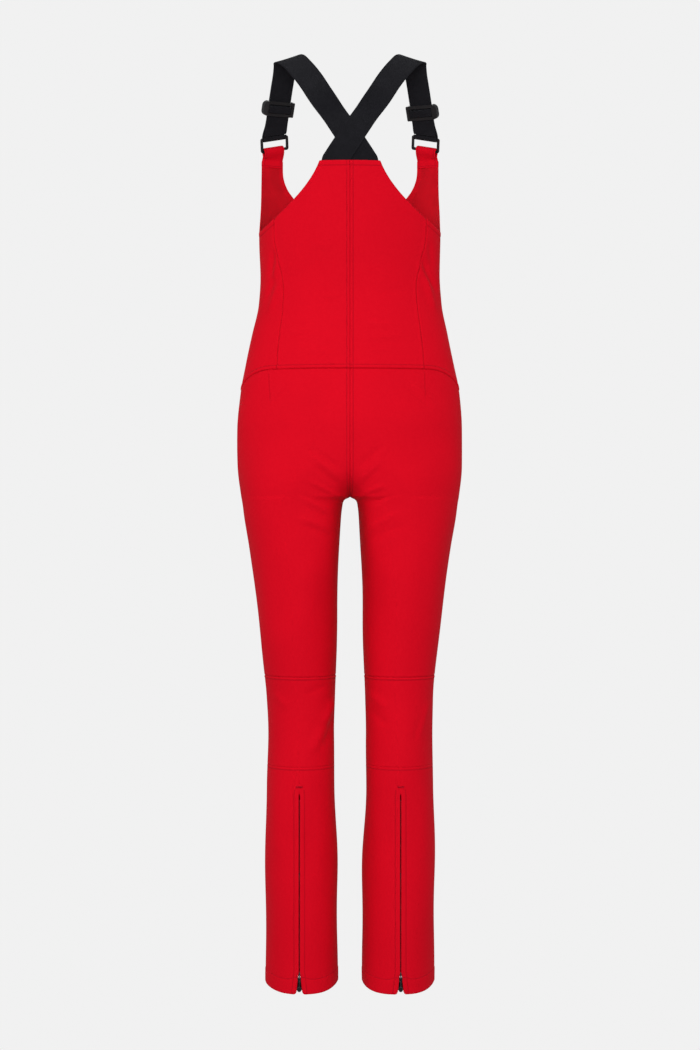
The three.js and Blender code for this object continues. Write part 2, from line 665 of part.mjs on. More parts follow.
// Ring: a moulded rectangle hanging in the end loop of the webbing.
function ringBody() {
  const top = RING_BAR / 2;
  const shape = roundedRect(new THREE.Shape(), -24.4, 24.4, -RING_BARS - top, top, 3.4);
  shape.holes.push(roundedRect(new THREE.Path(), -20.8, 20.8, -RING_BARS + top, -top, 1));
  return new THREE.ExtrudeGeometry(shape, { depth: RING_THICK, bevelEnabled: false, curveSegments: 3 })
    .rotateX(Math.PI / 2).translate(0, RING_THICK / 2, 0);
}

function inFrame(geometry, at, across, out, up) {
  const m = new THREE.Matrix4().makeBasis(across, out.clone().negate(), up);
  const g = geometry.clone();
  g.applyMatrix4(new THREE.Matrix4().makeScale(1, -1, 1));
  return closed(g).applyMatrix4(m.setPosition(at));
}
function adjusterOn(side) {
  return inFrame(adjusterBody(), runPoint(ADJUSTER_AT[side], 0), RUN_ACROSS, RUN_OUT, RUN_UP);
}
add('adjuster_L', adjusterOn('L'), plasticBlack);
add('adjuster_R', mirrored(adjusterOn('R')), plasticBlack);
addPair('ring', inFrame(ringBody(), RING_AT, RING_ACROSS, RING_OUT, RING_UP), plasticBlack);

// Loop of garment fabric that holds the ring to the tab of the front bib.
const LOOP_OUT = 4.9;
const LOOP_WIDTH = 34;
const LOOP_SHIFT = 2.6; // the loop sits towards the outer end of the ring
const loopStops = [];
[[-34.4, 1.5], [-31, 2.6], [-26, 4.3]].forEach(([s, out]) => {
  loopStops.push([s, out]);
});
[0, 30, 60, 90, 120, 150, 180].forEach((degrees) => {
  const angle = THREE.MathUtils.degToRad(degrees);
  loopStops.push([-RING_BARS + LOOP_OUT * Math.sin(angle), LOOP_OUT * Math.cos(angle)]);
});
[[-26, -4.3], [-31, -2.6], [-34.4, -1.5]].forEach(([s, out]) => {
  loopStops.push([s, out]);
});
addPair('ring_loop', ribbon(loopStops.map(([s, out]) => ({
  p: RING_AT.clone().addScaledVector(RING_UP, s).addScaledVector(RING_OUT, out)
    .addScaledVector(RING_ACROSS, LOOP_SHIFT),
  across: RING_ACROSS,
})), LOOP_WIDTH, 1.6), fabricRed);

export default garment;
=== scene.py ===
"""Looks for the bib ski trousers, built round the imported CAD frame.

Lengths are in millimetres, with heights above the hem, until a mesh is made: the row
frame is in metres, with its origin at the shoulders. +X is the wearer's left, -Y the front.
"""

import math
from functools import partialmethod

import bpy
import numpy as np
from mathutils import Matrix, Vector


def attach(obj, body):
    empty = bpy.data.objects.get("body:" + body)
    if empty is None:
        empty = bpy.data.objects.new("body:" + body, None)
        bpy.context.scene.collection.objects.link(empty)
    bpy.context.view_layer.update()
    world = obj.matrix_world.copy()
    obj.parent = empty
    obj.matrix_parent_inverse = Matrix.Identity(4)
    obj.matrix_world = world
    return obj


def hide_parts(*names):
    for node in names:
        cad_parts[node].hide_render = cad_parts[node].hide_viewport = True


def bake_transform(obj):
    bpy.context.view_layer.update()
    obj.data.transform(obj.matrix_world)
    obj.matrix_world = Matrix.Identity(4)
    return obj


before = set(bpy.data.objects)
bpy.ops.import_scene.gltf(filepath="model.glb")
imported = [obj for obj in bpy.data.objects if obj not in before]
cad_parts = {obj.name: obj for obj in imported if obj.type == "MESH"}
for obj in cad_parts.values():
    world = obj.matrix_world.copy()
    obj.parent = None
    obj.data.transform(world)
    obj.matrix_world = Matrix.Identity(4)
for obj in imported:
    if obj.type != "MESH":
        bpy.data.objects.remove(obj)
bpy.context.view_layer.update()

# ---- driving dimensions
SHOULDER_HEIGHT = 1481.5
KNEE_TOP = 497
KNEE_BOTTOM = 356
CROTCH = 781
HIP = 890
WAIST_BACK = 981
WAIST_SIDE = 950
ARMPIT = 1205
BACK_TOP = 1307
BACK_TOP_HALF = 48
NECKLINE = 1235
NECKLINE_RISE = 77
FRONT_TOP = 1331
ARMHOLE_X = 144
ZIP_SLIT = 1.5
ANKLE_SLIT = 1.0
ANKLE_SLIDER_Z = 28
ANKLE_ZIP_X = 79.5
ANKLE_ZIP_TOP = 307
ANKLE_FLARE_TOP = 35
ANKLE_FLARE = 5
HEM_RISE = 9
HEM_CORNER = 4
FRONT_ZIP_BOTTOM = 895
CALF_BACK = 82
BIB_FRONT = -98
FABRIC = 1.8

# z, outer, inner, back, front
STATIONS = np.array([
    (0, 134.5, 19, 82, -68), (180, 134.5, 21, 82, -62), (320, 133, 25, 82, -58),
    (400, 130, 25, 78, -60), (460, 133, 23, 76, -66), (520, 139, 22, 80, -74),
    (600, 147, 21, 88, -84), (700, 161, 17, 98, -92), (750, 169, 15, 104, -95),
    (768, 171, 13, 106, -96), (776, 172.2, 10, 107.2, -96.6), (781, 173, 0.5, 108, -97),
    (830, 178, 0, 115, -98),
    (890, 179, 0, 117, -98), (950, 175, 0, 104, -98), (990, 168, 0, 96, -98),
    (1040, 158, 0, 90, -98), (1090, 147, 0, 87, -98), (1140, 143, 0, 88, -98),
    (1205, 144, 0, 91, -98), (1310, 143, 0, 91, -98), (1360, 143, 0, 91, -98),
], float)
OUTER, INNER, BACK, FRONT = 1, 2, 3, 4
FRONT_SPREAD = 42
INNER_FULLNESS = 1.2
JOIN_LEAD = 4
FRONT_SPREAD_TOP = 1350


def lerp(a, b, t):
    return a + (b - a) * t


def smooth(t):
    c = np.clip(t, 0, 1)
    return c * c * (3 - 2 * c)


def hermite(a, b, slope_a, slope_b, h, t):
    t2, t3 = t * t, t * t * t
    return ((2 * t3 - 3 * t2 + 1) * a + (t3 - 2 * t2 + t) * h * slope_a
            + (3 * t2 - 2 * t3) * b + (t3 - t2) * h * slope_b)


def node_slopes():
    rise = np.diff(STATIONS[:, 1:], axis=0) / np.diff(STATIONS[:, 0])[:, None]
    product = rise[:-1] * rise[1:]
    total = rise[:-1] + rise[1:]
    inner = np.where(product > 0, 2 * product / np.where(total == 0, 1, total), 0)
    return np.vstack([np.zeros(4), inner, np.zeros(4)])


SLOPES = node_slopes()


def outline(column, z):
    z = np.asarray(z, float)
    heights = STATIONS[:, 0]
    i = np.clip(np.searchsorted(heights, z, side="left") - 1, 0, len(heights) - 2)
    h = heights[i + 1] - heights[i]
    t = np.clip((z - heights[i]) / h, 0, 1)
    slopes = SLOPES[:, column - 1]
    return hermite(STATIONS[i, column], STATIONS[i + 1, column], slopes[i], slopes[i + 1], h, t)


def section(z, angle):
    """cx, cy, a, b of the wearer's left half of the body at a height."""
    z, angle = np.broadcast_arrays(np.asarray(z, float), np.asarray(angle, float))
    outer = outline(OUTER, z)
    spread = FRONT_SPREAD * smooth((z - ARMPIT) / (FRONT_SPREAD_TOP - ARMPIT))
    outer = outer + np.where(angle < 0, spread, 0)
    joined = smooth((z - CROTCH + JOIN_LEAD) / (HIP - CROTCH + JOIN_LEAD))
    inner = np.where(z < CROTCH, outline(INNER, z), lerp(0.5, -outer, joined))
    back, front = outline(BACK, z), outline(FRONT, z)
    return (outer + inner) / 2, (back + front) / 2, (outer - inner) / 2, (back - front) / 2


def squareness(z):
    """Power of the section's inner half: 2 is an ellipse, more is squarer."""
    return 2 + INNER_FULLNESS * smooth((z - 600) / 170) * (1 - smooth((z - 790) / 90))


def signed_power(value, power):
    return np.sign(value) * np.abs(value) ** power


def surface(angle, z, inward=0.0):
    """Points and outward directions on the garment."""
    cx, cy, a, b = section(z, angle)
    c, n = np.cos(angle), np.sin(angle)
    power = np.where(c < 0, squareness(z), 2.0)
    c, n = signed_power(c, 2 / power), signed_power(n, 2 / power)
    nx, ny = signed_power(c, power - 1) / a, signed_power(n, power - 1) / b
    length = np.hypot(nx, ny)
    nx, ny = nx / length, ny / length
    x = cx + a * c - inward * nx
    y = cy + b * n - inward * ny
    z = np.broadcast_to(np.asarray(z, float), x.shape)
    return np.stack([x, y, z], -1), np.stack([nx, ny, np.zeros_like(nx)], -1)


def angle_at(x, z, side):
    cx, _, a, _ = section(z, side)
    share = np.clip((x - cx) / a, -1, 1)
    inner = -(np.abs(share) ** (squareness(z) / 2))
    return side * np.arccos(np.where(share < 0, inner, share))


# ---- shared seam lines
WAIST_LEVELS_AT = math.radians(44)
PRINCESS_BEND = 1109
PRINCESS_BEND_X = 105
FAR_INSIDE = -1000  # an x past the inseam, which angle_at takes back to it


def side_seam(z):
    return np.zeros(np.shape(z))


def back_middle(z):
    return angle_at(np.where(z < CROTCH, FAR_INSIDE, 0), z, 1)


def front_slit(z):
    return ZIP_SLIT * smooth((z - (FRONT_ZIP_BOTTOM - 12)) / 10)


def front_middle(z):
    return angle_at(np.where(z < CROTCH, FAR_INSIDE, front_slit(z)), z, -1)


def waist(angle):
    rise = smooth(0.5 + 0.5 * (np.maximum(angle, 0) / WAIST_LEVELS_AT)) * 2 - 1
    return np.where(angle < 0, WAIST_SIDE, lerp(WAIST_SIDE, WAIST_BACK, rise))


def princess(z):
    above = z - PRINCESS_BEND
    upper = lerp(PRINCESS_BEND_X, 121, smooth(above / (1200 - PRINCESS_BEND)))
    lower = lerp(PRINCESS_BEND_X, 116, smooth(-above / (PRINCESS_BEND - WAIST_BACK)))
    return angle_at(np.where(above > 0, upper, lower), z, 1)


def back_armhole(z):
    t = np.clip((BACK_TOP - z) / (BACK_TOP - ARMPIT), 0, 1)
    return lerp(BACK_TOP_HALF, 142, 0.43 * t + 0.57 * t * t)


def back_bib_edge(z):
    return np.maximum(princess(z), angle_at(back_armhole(z), z, 1))


def armhole_side(angle):
    """Height of the armhole over the side back panel."""
    x = ARMHOLE_X * np.cos(angle)
    share = np.clip((x - BACK_TOP_HALF) / 94, 0, 1)
    t = (np.sqrt(0.1849 + 2.28 * share) - 0.43) / 1.14
    return BACK_TOP - (BACK_TOP - ARMPIT) * t


def neckline(z):
    t = np.clip((z - NECKLINE) / NECKLINE_RISE, 0, 1)
    return 110 * np.sin(np.arccos(1 - t)) ** 0.9


def front_bib_side(z):
    return np.where(z > ARMPIT, angle_at(ARMHOLE_X, z, -1), 0)


def front_bib_middle(z):
    x = np.where(z < NECKLINE + 0.01, front_slit(z), np.maximum(ZIP_SLIT, neckline(z)))
    return angle_at(x, z, -1)


def tab_top(angle):
    return FRONT_TOP - 5 * np.cos(angle)


def lip_gap(z):
    flare = np.maximum(0, 1 - z / ANKLE_FLARE_TOP)
    open_gap = ANKLE_SLIT + (ANKLE_FLARE - ANKLE_SLIT) * flare
    return np.where(z > ANKLE_ZIP_TOP + 6, 0, open_gap)


def calf_lip(sign):
    return lambda z: angle_at(ANKLE_ZIP_X + sign * lip_gap(z), z, 1)


def hem_rise(angle):
    """The hem stands a little higher at the two sides of the leg."""
    return HEM_RISE * np.abs(np.cos(angle)) ** 4


def calf_hem(sign):
    """The hem, rounded up into the zip's lip."""
    def low(angle):
        cx, _, a, _ = section(0, 1)
        x = cx + a * np.cos(angle)
        reach = np.clip(sign * (x - ANKLE_ZIP_X) - ANKLE_FLARE, 0, HEM_CORNER)
        corner = HEM_CORNER - np.sqrt(HEM_CORNER**2 - (HEM_CORNER - reach) ** 2)
        return corner + hem_rise(angle)
    return low


def inseam(side):
    return lambda z: np.full(np.shape(z), side * math.pi)


def level(height):
    return lambda angle: np.full(np.shape(angle), float(height))


# ---- drape
DRAPE_RANDOM = np.random.RandomState(11)
WAVES = []
for wave in range(14):
    across = 2 * math.pi / DRAPE_RANDOM.uniform(90, 240)
    upward = 2 * math.pi / DRAPE_RANDOM.uniform(170, 520)
    turn = DRAPE_RANDOM.uniform(0, 2 * math.pi)
    WAVES.append((
        across * math.cos(turn), across * math.sin(turn),
        upward * DRAPE_RANDOM.choice([-1, 1]), DRAPE_RANDOM.uniform(0, 2 * math.pi),
        DRAPE_RANDOM.uniform(0.15, 0.4),
    ))

# Folds on the back: x0, z0, x1, z1, half width, height (negative is a valley).
BACK_FOLDS = [
    # behind the knees
    (24, 462, 42, 421, 6, 1.6), (42, 421, 62, 376, 7, 1.2), (22, 436, 40, 385, 6, -1.4),
    (34, 484, 70, 470, 5, -0.7), (-28, 470, -60, 448, 6, 0.9), (-30, 446, -58, 420, 6, -0.7),
    (-124, 455, -108, 400, 5, 0.9), (-118, 440, -100, 392, 5, -0.7),
    (122, 470, 96, 448, 6, 0.7),
    # calves and thighs
    (44, 300, 52, 150, 12, 0.8), (118, 330, 110, 200, 12, 0.8),
    (-44, 300, -50, 160, 12, 0.8), (-118, 320, -112, 190, 12, 0.8),
    (60, 690, 70, 560, 16, 0.9), (-60, 690, -72, 570, 16, 0.9),
    (118, 700, 112, 560, 14, -0.6), (-118, 700, -112, 560, 14, -0.6),
    # side backs of the bib, pulled in under the arms
    (128, 1072, 108, 1122, 5, 1.3), (132, 1094, 116, 1134, 4, -1.0),
    (120, 1120, 112, 1156, 4, 1.1), (126, 1128, 121, 1172, 4, -1.2),
    (-113, 1162, -138, 1106, 5, -1.8), (-108, 1150, -128, 1098, 4, 1.0),
    (-118, 1130, -136, 1074, 5, 1.2), (-126, 1186, -130, 1140, 4, -0.9),
    # small lines across the back
    (104, 1131, 79, 1168, 4, 0.5), (88, 1118, 58, 1150, 5, -0.4), (46, 1093, 14, 1097, 4, 0.45),
    (97, 1038, 58, 1043, 4, 0.5), (80, 1021, 44, 1024, 4, -0.4),
    (-26, 1052, -66, 1049, 4, 0.45),
    (-32, 1030, -84, 1034, 4, 0.5), (-40, 1100, -92, 1106, 5, -0.4),
    (-22, 1142, -60, 1128, 4, 0.4),
    (30, 1010, 78, 1008, 4, 0.45), (-30, 1008, -66, 1012, 4, 0.35), (22, 1180, 60, 1172, 5, 0.35),
    # beside the right dart
    (-96, 958, -132, 932, 3.5, 0.7), (-92, 948, -128, 918, 3.5, -0.6),
    (100, 952, 128, 932, 3.5, 0.5),
]


def drag_lines():
    """Fine lines that run up and outward from the inside of each thigh and the crotch."""
    lines = []
    for sign in (1, -1):
        for k in range(9):
            z = 716 + 13 * k + DRAPE_RANDOM.uniform(-4, 4)
            start = (26 if z < 770 else 12) + DRAPE_RANDOM.uniform(-4, 6)
            lean = math.radians(DRAPE_RANDOM.uniform(16, 32) + (10 if z > 790 else 0))
            reach = DRAPE_RANDOM.uniform(38, 66)
            height = (0.75 if k % 2 else -0.6) * DRAPE_RANDOM.uniform(0.6, 1.2)
            lines.append((sign * start, z, sign * (start + reach * math.cos(lean)),
                          z + reach * math.sin(lean), DRAPE_RANDOM.uniform(3.2, 5), height))
    return lines


BACK_FOLDS += drag_lines()
# The same on the wearer's left of the front; the right mirrors it.
FRONT_LEFT_FOLDS = [
    (6, 800, 66, 846, 7, 2.0), (4, 786, 60, 806, 6, -1.8), (10, 762, 54, 750, 7, 1.4),
    (50, 520, 110, 512, 9, 1.6), (52, 470, 108, 462, 9, -1.4), (60, 300, 70, 130, 12, 1.4),
    (90, 690, 84, 560, 14, 1.4), (40, 1180, 70, 1040, 12, 1.0),
]
FRONT_FOLDS = [(sign * x0, z0, sign * x1, z1, width, height) for sign in (1, -1)
               for x0, z0, x1, z1, width, height in FRONT_LEFT_FOLDS]
FOLD_DEPTH = 2.4  # every fold's height is scaled by this


def beside(x, z, x0, z0, x1, z1):
    """Lengths along a straight line and away from it, and the line's own length."""
    dx, dz = x1 - x0, z1 - z0
    length = math.hypot(dx, dz)
    along = ((x - x0) * dx + (z - z0) * dz) / length
    away = ((x - x0) * dz - (z - z0) * dx) / length
    return along, away, length


def folds(x, z, table):
    total = np.zeros(np.shape(x))
    for *line, width, height in table:
        along, away, length = beside(x, z, *line)
        ends = smooth((along + 0.1 * length) / (0.4 * length))
        ends = ends * smooth((1.1 * length - along) / (0.4 * length))
        total += FOLD_DEPTH * height * ends * np.exp(-((away / width) ** 2))
    return total


def drape(x, y, z, turned):
    """How far the cloth stands off the pattern surface; turned is sine of the body angle."""
    total = np.zeros(np.shape(x))
    for kx, ky, kz, phase, height in WAVES:
        total += height * np.sin(kx * x + ky * y + kz * z + phase)
    total += folds(x, z, BACK_FOLDS) * smooth(turned / 0.35)
    total += folds(x, z, FRONT_FOLDS) * smooth(-turned / 0.35)
    return total


# ---- meshes
def to_frame(points):
    points = np.asarray(points, float).reshape(-1, 3)
    return (points - [0, 0, SHOULDER_HEIGHT]) / 1000


def make_mesh(name, points, faces, materials, face_material=None, uv=None, values=None):
    mesh = bpy.data.meshes.new(name)
    mesh.from_pydata(to_frame(points).tolist(), [], [list(map(int, f)) for f in faces])
    mesh.polygons.foreach_set("use_smooth", [True] * len(mesh.polygons))
    for material in materials:
        mesh.materials.append(material)
    if face_material is not None:
        mesh.polygons.foreach_set("material_index", np.asarray(face_material, np.int32))
    if uv is not None:
        layer = mesh.uv_layers.new(name="cloth")
        corners = np.zeros(len(mesh.loops), np.int32)
        mesh.loops.foreach_get("vertex_index", corners)
        layer.data.foreach_set("uv", np.asarray(uv, np.float32)[corners].ravel())
    for key, value in (values or {}).items():
        attribute = mesh.attributes.new(key, "FLOAT", "POINT")
        attribute.data.foreach_set("value", np.asarray(value, np.float32).ravel())
    mesh.update()
    fix_outward(mesh)
    return placed(name, mesh)


def placed(name, data):
    obj = bpy.data.objects.new(name, data)
    bpy.context.scene.collection.objects.link(obj)
    return obj


FAR = 1000.0  # a distance at which no seam, stitch or dart is drawn


def no_marks(shape):
    names = ("seam", "st_left", "st_right", "st_low", "st_high", "line_d")
    return {**{k: np.full(shape, FAR) for k in names}, "line_t": np.full(shape, -FAR)}


def sheet_mesh(name, outer, inner, faces, materials, face_material, uv, values):
    """A mesh of two matching grids of points, which share their uv and values."""
    points = np.concatenate([outer.reshape(-1, 3), inner.reshape(-1, 3)])
    uv = uv.reshape(-1, 2)
    doubled = {k: np.concatenate([np.ravel(v), np.ravel(v)]) for k, v in values.items()}
    return make_mesh(name, points, faces, materials, face_material,
                     np.concatenate([uv, uv]), doubled)


def fix_outward(mesh):
    mesh.calc_loop_triangles()
    triangles = np.zeros(len(mesh.loop_triangles) * 3, np.int32)
    mesh.loop_triangles.foreach_get("vertices", triangles)
    co = np.zeros(len(mesh.vertices) * 3, np.float32)
    mesh.vertices.foreach_get("co", co)
    a, b, c = (co.reshape(-1, 3)[triangles.reshape(-1, 3)[:, i]] for i in range(3))
    if np.einsum("ij,ij->i", a, np.cross(b, c)).sum() < 0:
        mesh.flip_normals()
        mesh.update()


def soften(obj, width, segments=2, angle=35):
    """Rounds the sharp edges by width millimetres."""
    bevel = obj.modifiers.new("rounded", "BEVEL")
    bevel.width = width / 1000
    bevel.segments = segments
    bevel.limit_method = "ANGLE"
    bevel.angle_limit = math.radians(angle)
    bevel.harden_normals = False
    return obj


EDGE_STEPS = (0, 0.7, 1.6, 2.6, 3.8, 4.6, 5.4, 6.6, 8.4)


def stops(low_marks, high_marks, extra, room, spacing):
    """Rows (share of low, share of high, offset), dense at both ends and at extra heights."""
    marks = [(1, 0, d) for d in low_marks]
    marks += [(0, 0, m) for m in extra]
    marks += [(0, 1, -d) for d in reversed(high_marks)]
    low, high = room
    rows = [marks[0]]
    for before, after in zip(marks, marks[1:]):
        gap = abs((after[0] * low + after[1] * high + after[2])
                  - (before[0] * low + before[1] * high + before[2]))
        count = max(1, math.ceil(gap / spacing - 0.2))
        for k in range(1, count + 1):
            rows.append(tuple(lerp(p, q, k / count) for p, q in zip(before, after)))
    return np.array(rows, float)


def polyline_distance(points, line):
    """Distance of every point from a polyline."""
    a, b = line[:-1], line[1:]
    ab = b - a
    keep = np.einsum("ij,ij->i", ab, ab) > 1e-9
    a, ab = a[keep], ab[keep]
    best = np.full(len(points), 1e9)
    for start, step in zip(a, ab):
        t = np.clip(((points - start) @ step) / (step @ step), 0, 1)
        d = np.linalg.norm(points - start - t[:, None] * step, axis=1)
        best = np.minimum(best, d)
    return best


def edge_profile(d, edge):
    """Height of the cloth near a sewn or hemmed edge, d from it."""
    raised = edge.get("raised", 0.35)
    offset = edge.get("stitch")
    total = -edge.get("groove", 0.7) * np.exp(-((d / 1.3) ** 2))
    reach = offset if offset else 4.0
    total += raised * smooth((d - 0.3) / 1.3) * smooth((reach + 0.9 - d) / 1.0)
    if offset:
        total -= edge.get("channel", 0.35) * np.exp(-(((d - offset) / 0.8) ** 2))
    return total


def fine_steps(edge):
    offset = edge.get("stitch")
    if not offset:
        return EDGE_STEPS[:6]
    near = [0, 0.7, 1.6]
    step = 1.4
    while near[-1] + step < offset - 1.2:
        near.append(near[-1] + step)
        step = min(3.5, step * 1.3)
    return near + [offset - 0.8, offset, offset + 0.8, offset + 2.2]


def back_of(faces, count):
    """The same faces on the far side of a sheet, turned over."""
    return faces[:, ::-1] + count


def shell_faces(n, m):
    """Faces of a closed sheet, n by m points on each side, and 1 for those on its inside."""
    index = np.arange(n * m).reshape(n, m)
    quads = np.stack([index[:-1, :-1], index[:-1, 1:], index[1:, 1:], index[1:, :-1]], -1)
    outer = quads.reshape(-1, 4)
    inner = back_of(outer, n * m)
    rim = np.concatenate([index[0, :], index[1:, -1], index[-1, -2::-1], index[-2:0:-1, 0]])
    following = np.roll(rim, -1)
    edge_faces = np.stack([following, rim, rim + n * m, following + n * m], -1)
    is_inside = np.repeat([0, 1, 0], [len(outer), len(inner), len(edge_faces)])
    return np.concatenate([outer, inner, edge_faces]), is_inside


def unit_rows(v):
    return v / np.linalg.norm(v, axis=1)[:, None]


def lengths_along(points):
    return np.concatenate([[0], np.cumsum(np.linalg.norm(np.diff(points, axis=0), axis=1))])


def around(left, right, low, high):
    return dict(left=left, right=right, low=low, high=high)


sheets = []
PATH_SAMPLES = 420


def at(function, value):
    """One number out of a function that takes arrays."""
    return float(np.ravel(function(np.array(value, float)))[0])


def panel_grid(start, end, low, high, edges, probe, extra, spacing):
    """Angles, heights and lengths along the rows of a panel's mesh."""
    middle = 0.5 * (at(start, probe) + at(end, probe))
    room = (at(low, middle), at(high, middle))
    rows = stops(fine_steps(edges["low"]), fine_steps(edges["high"]), extra, room, spacing)
    t = np.linspace(0, 1, PATH_SAMPLES)
    paths = []
    for row in rows:
        def height(angle):
            return row[0] * low(angle) + row[1] * high(angle) + row[2]

        za = zb = float(row[0] * room[0] + row[1] * room[1] + row[2])
        for _ in range(12):
            first, last = at(start, za), at(end, zb)
            za, zb = at(height, first), at(height, last)
        angles = lerp(first, last, t)
        heights = height(angles)
        arc = lengths_along(surface(angles, heights)[0])
        paths.append((angles, heights, arc))
    widest = max(path[2][-1] for path in paths)
    columns = stops(fine_steps(edges["left"]), fine_steps(edges["right"]), (), (0, widest),
                    spacing)
    angle_grid, z_grid, s_grid = [], [], []
    for angles, heights, arc in paths:
        s = columns[:, 1] * arc[-1] + columns[:, 2]
        if arc[-1] < 0.35 * widest:
            s = np.linspace(0, 1, len(columns)) * arc[-1]
        s = np.clip(s, 0, arc[-1])
        angle_grid.append(np.interp(s, arc, angles))
        z_grid.append(np.interp(s, arc, heights))
        s_grid.append(s)
    return map(np.array, (angle_grid, z_grid, s_grid))


def panel(name, side, start, end, low, high, edges, materials, probe, extra=(), spacing=7.0,
          thick=FABRIC, inward=0.0, dart=None):
    """A fabric panel: start and end are angles at a height, low and high heights at an angle."""
    sign = 1 if side == "L" else -1
    angle_grid, z_grid, s_grid = panel_grid(start, end, low, high, edges, probe, extra, spacing)
    base, outward = surface(angle_grid, z_grid, inward)
    base[..., 0] *= sign
    outward[..., 0] *= sign
    n, m = angle_grid.shape
    flat = base.reshape(-1, 3)
    borders = around(base[:, 0], base[:, -1], base[0], base[-1])
    away = {k: polyline_distance(flat, line).reshape(n, m) for k, line in borders.items()}
    central = [k for k in away if edges[k].get("centre")]
    for k in central:
        upper = smooth((base[..., 2] - (CROTCH - 16)) / 16)
        outward[..., 0] *= lerp(1, smooth(away[k] / 14), upper)
    lift = drape(base[..., 0], base[..., 1], base[..., 2], np.sin(angle_grid))
    for k in away:
        if edges[k].get("still"):
            lift = lift * smooth((away[k] - 4) / 12)
    profile = sum(edge_profile(away[k], edges[k]) for k in away)
    outer = base + outward * (lift + profile)[..., None]
    inner = base + outward * (lift - thick)[..., None]
    if central:
        for cloth in (outer, inner):
            cloth[..., 0] = sign * np.maximum(sign * cloth[..., 0], 0)

    steps = np.linalg.norm(np.diff(base, axis=0), axis=2)
    v_grid = np.vstack([np.zeros(m), np.cumsum(steps, axis=0)])
    uv = np.stack([s_grid, v_grid], -1)

    faces, material_index = shell_faces(n, m)
    values = no_marks((n, m))
    values["seam"] = np.minimum.reduce([
        away[k] + (edges[k].get("faint", 0) if edges[k].get("seam", True) else FAR)
        for k in away])
    for k in away:
        offset = edges[k]["stitch"]
        cut = np.where(base[..., 2] > edges[k].get("below", np.inf), FAR, 0.0)
        values["st_" + k] = away[k] + (FAR if offset is None else -offset) + cut
    if dart:
        values["line_t"], values["line_d"], _ = beside(base[..., 0], base[..., 2], *dart)
    obj = sheet_mesh(name, outer, inner, faces, materials, material_index, uv, values)
    width = float(s_grid[:, -1].max())
    length = float(v_grid[-1].max())
    diagonals = base[1:, 1:] - base[:-1, :-1], base[1:, :-1] - base[:-1, 1:]
    area = float(np.linalg.norm(np.cross(*diagonals), axis=2).sum() / 2)
    sheets.append((obj, width, length, area))
    return obj


# ---- material helpers
class Nodes:
    """A short way to write a material's node tree."""

    def __init__(self, name):
        self.material = bpy.data.materials.new(name)
        self.material.use_nodes = True
        self.tree = self.material.node_tree
        self.shader = self.tree.nodes["Principled BSDF"]

    def put(self, socket, value):
        if value is None:
            return
        if hasattr(value, "is_output"):
            self.tree.links.new(value, socket)
        elif hasattr(value, "__len__") and len(value) == 3 and socket.type == "RGBA":
            socket.default_value = (*value, 1)
        else:
            socket.default_value = value

    def operate(self, operation, a, b=None, c=None):
        node = self.tree.nodes.new("ShaderNodeMath")
        node.operation = operation
        for socket, value in zip(node.inputs, (a, b, c)):
            self.put(socket, value)
        return node.outputs[0]

    add = partialmethod(operate, "ADD")
    sub = partialmethod(operate, "SUBTRACT")
    mul = partialmethod(operate, "MULTIPLY")
    least = partialmethod(operate, "MINIMUM")
    most = partialmethod(operate, "MAXIMUM")
    size = partialmethod(operate, "ABSOLUTE")

    def ramp(self, value, low, high, to_low=0.0, to_high=1.0):
        node = self.tree.nodes.new("ShaderNodeMapRange")
        node.interpolation_type = "SMOOTHSTEP"
        for socket, v in zip(node.inputs, (value, low, high, to_low, to_high)):
            self.put(socket, v)
        return node.outputs[0]

    def wave(self, value, pitch):
        """A sine of a length in millimetres."""
        turned = self.operate("MULTIPLY_ADD", value, 2 * math.pi / pitch, 0.0)
        return self.operate("SINE", turned)

    def total(self, *weighted):
        """The sum of values, each times its weight."""
        result = None
        for value, weight in weighted:
            part = self.mul(value, weight)
            result = part if result is None else self.add(result, part)
        return result

    def attribute(self, name):
        node = self.tree.nodes.new("ShaderNodeAttribute")
        node.attribute_name = name
        return node.outputs["Fac"]

    def split(self, vector):
        node = self.tree.nodes.new("ShaderNodeSeparateXYZ")
        self.put(node.inputs[0], vector)
        return node.outputs

    def cloth_uv(self):
        node = self.tree.nodes.new("ShaderNodeUVMap")
        node.uv_map = "cloth"
        return self.split(node.outputs[0])[:2]

    def place(self):
        node = self.tree.nodes.new("ShaderNodeTexCoord")
        return node.outputs["Object"]

    def noise(self, scale, detail=2.0, roughness=0.5):
        node = self.tree.nodes.new("ShaderNodeTexNoise")
        node.inputs["Scale"].default_value = scale
        node.inputs["Detail"].default_value = detail
        node.inputs["Roughness"].default_value = roughness
        self.put(node.inputs["Vector"], self.place())
        return node.outputs["Fac"]

    def mix(self, share, a, b):
        node = self.tree.nodes.new("ShaderNodeMix")
        node.data_type = "RGBA"
        self.put(node.inputs[0], share)
        self.put(node.inputs[6], a)
        self.put(node.inputs[7], b)
        return node.outputs[2]

    def bump(self, height):
        """height is in millimetres."""
        node = self.tree.nodes.new("ShaderNodeBump")
        node.inputs["Strength"].default_value = 1.0
        node.inputs["Distance"].default_value = 0.001
        self.put(node.inputs["Height"], height)
        self.put(self.shader.inputs["Normal"], node.outputs[0])

    def set(self, colour, rough, specular, **more):
        values = {"Base Color": colour, "Roughness": rough, "Specular IOR Level": specular}
        for key, value in {**values, **more}.items():
            self.put(self.shader.inputs[key.replace("_", " ")], value)
        return self.material

    def set_cloth(self, colour, rough, specular, sheen, sheen_rough, tint):
        return self.set(colour, rough, specular, Sheen_Weight=sheen,
                        Sheen_Roughness=sheen_rough, Sheen_Tint=tint)


STITCH_PITCH = 3.1
ZIP_END_SHADE = (0.012, 0.011, 0.012)  # painted shade: the zips' tape and teeth turn black towards their lower ends, round the pull
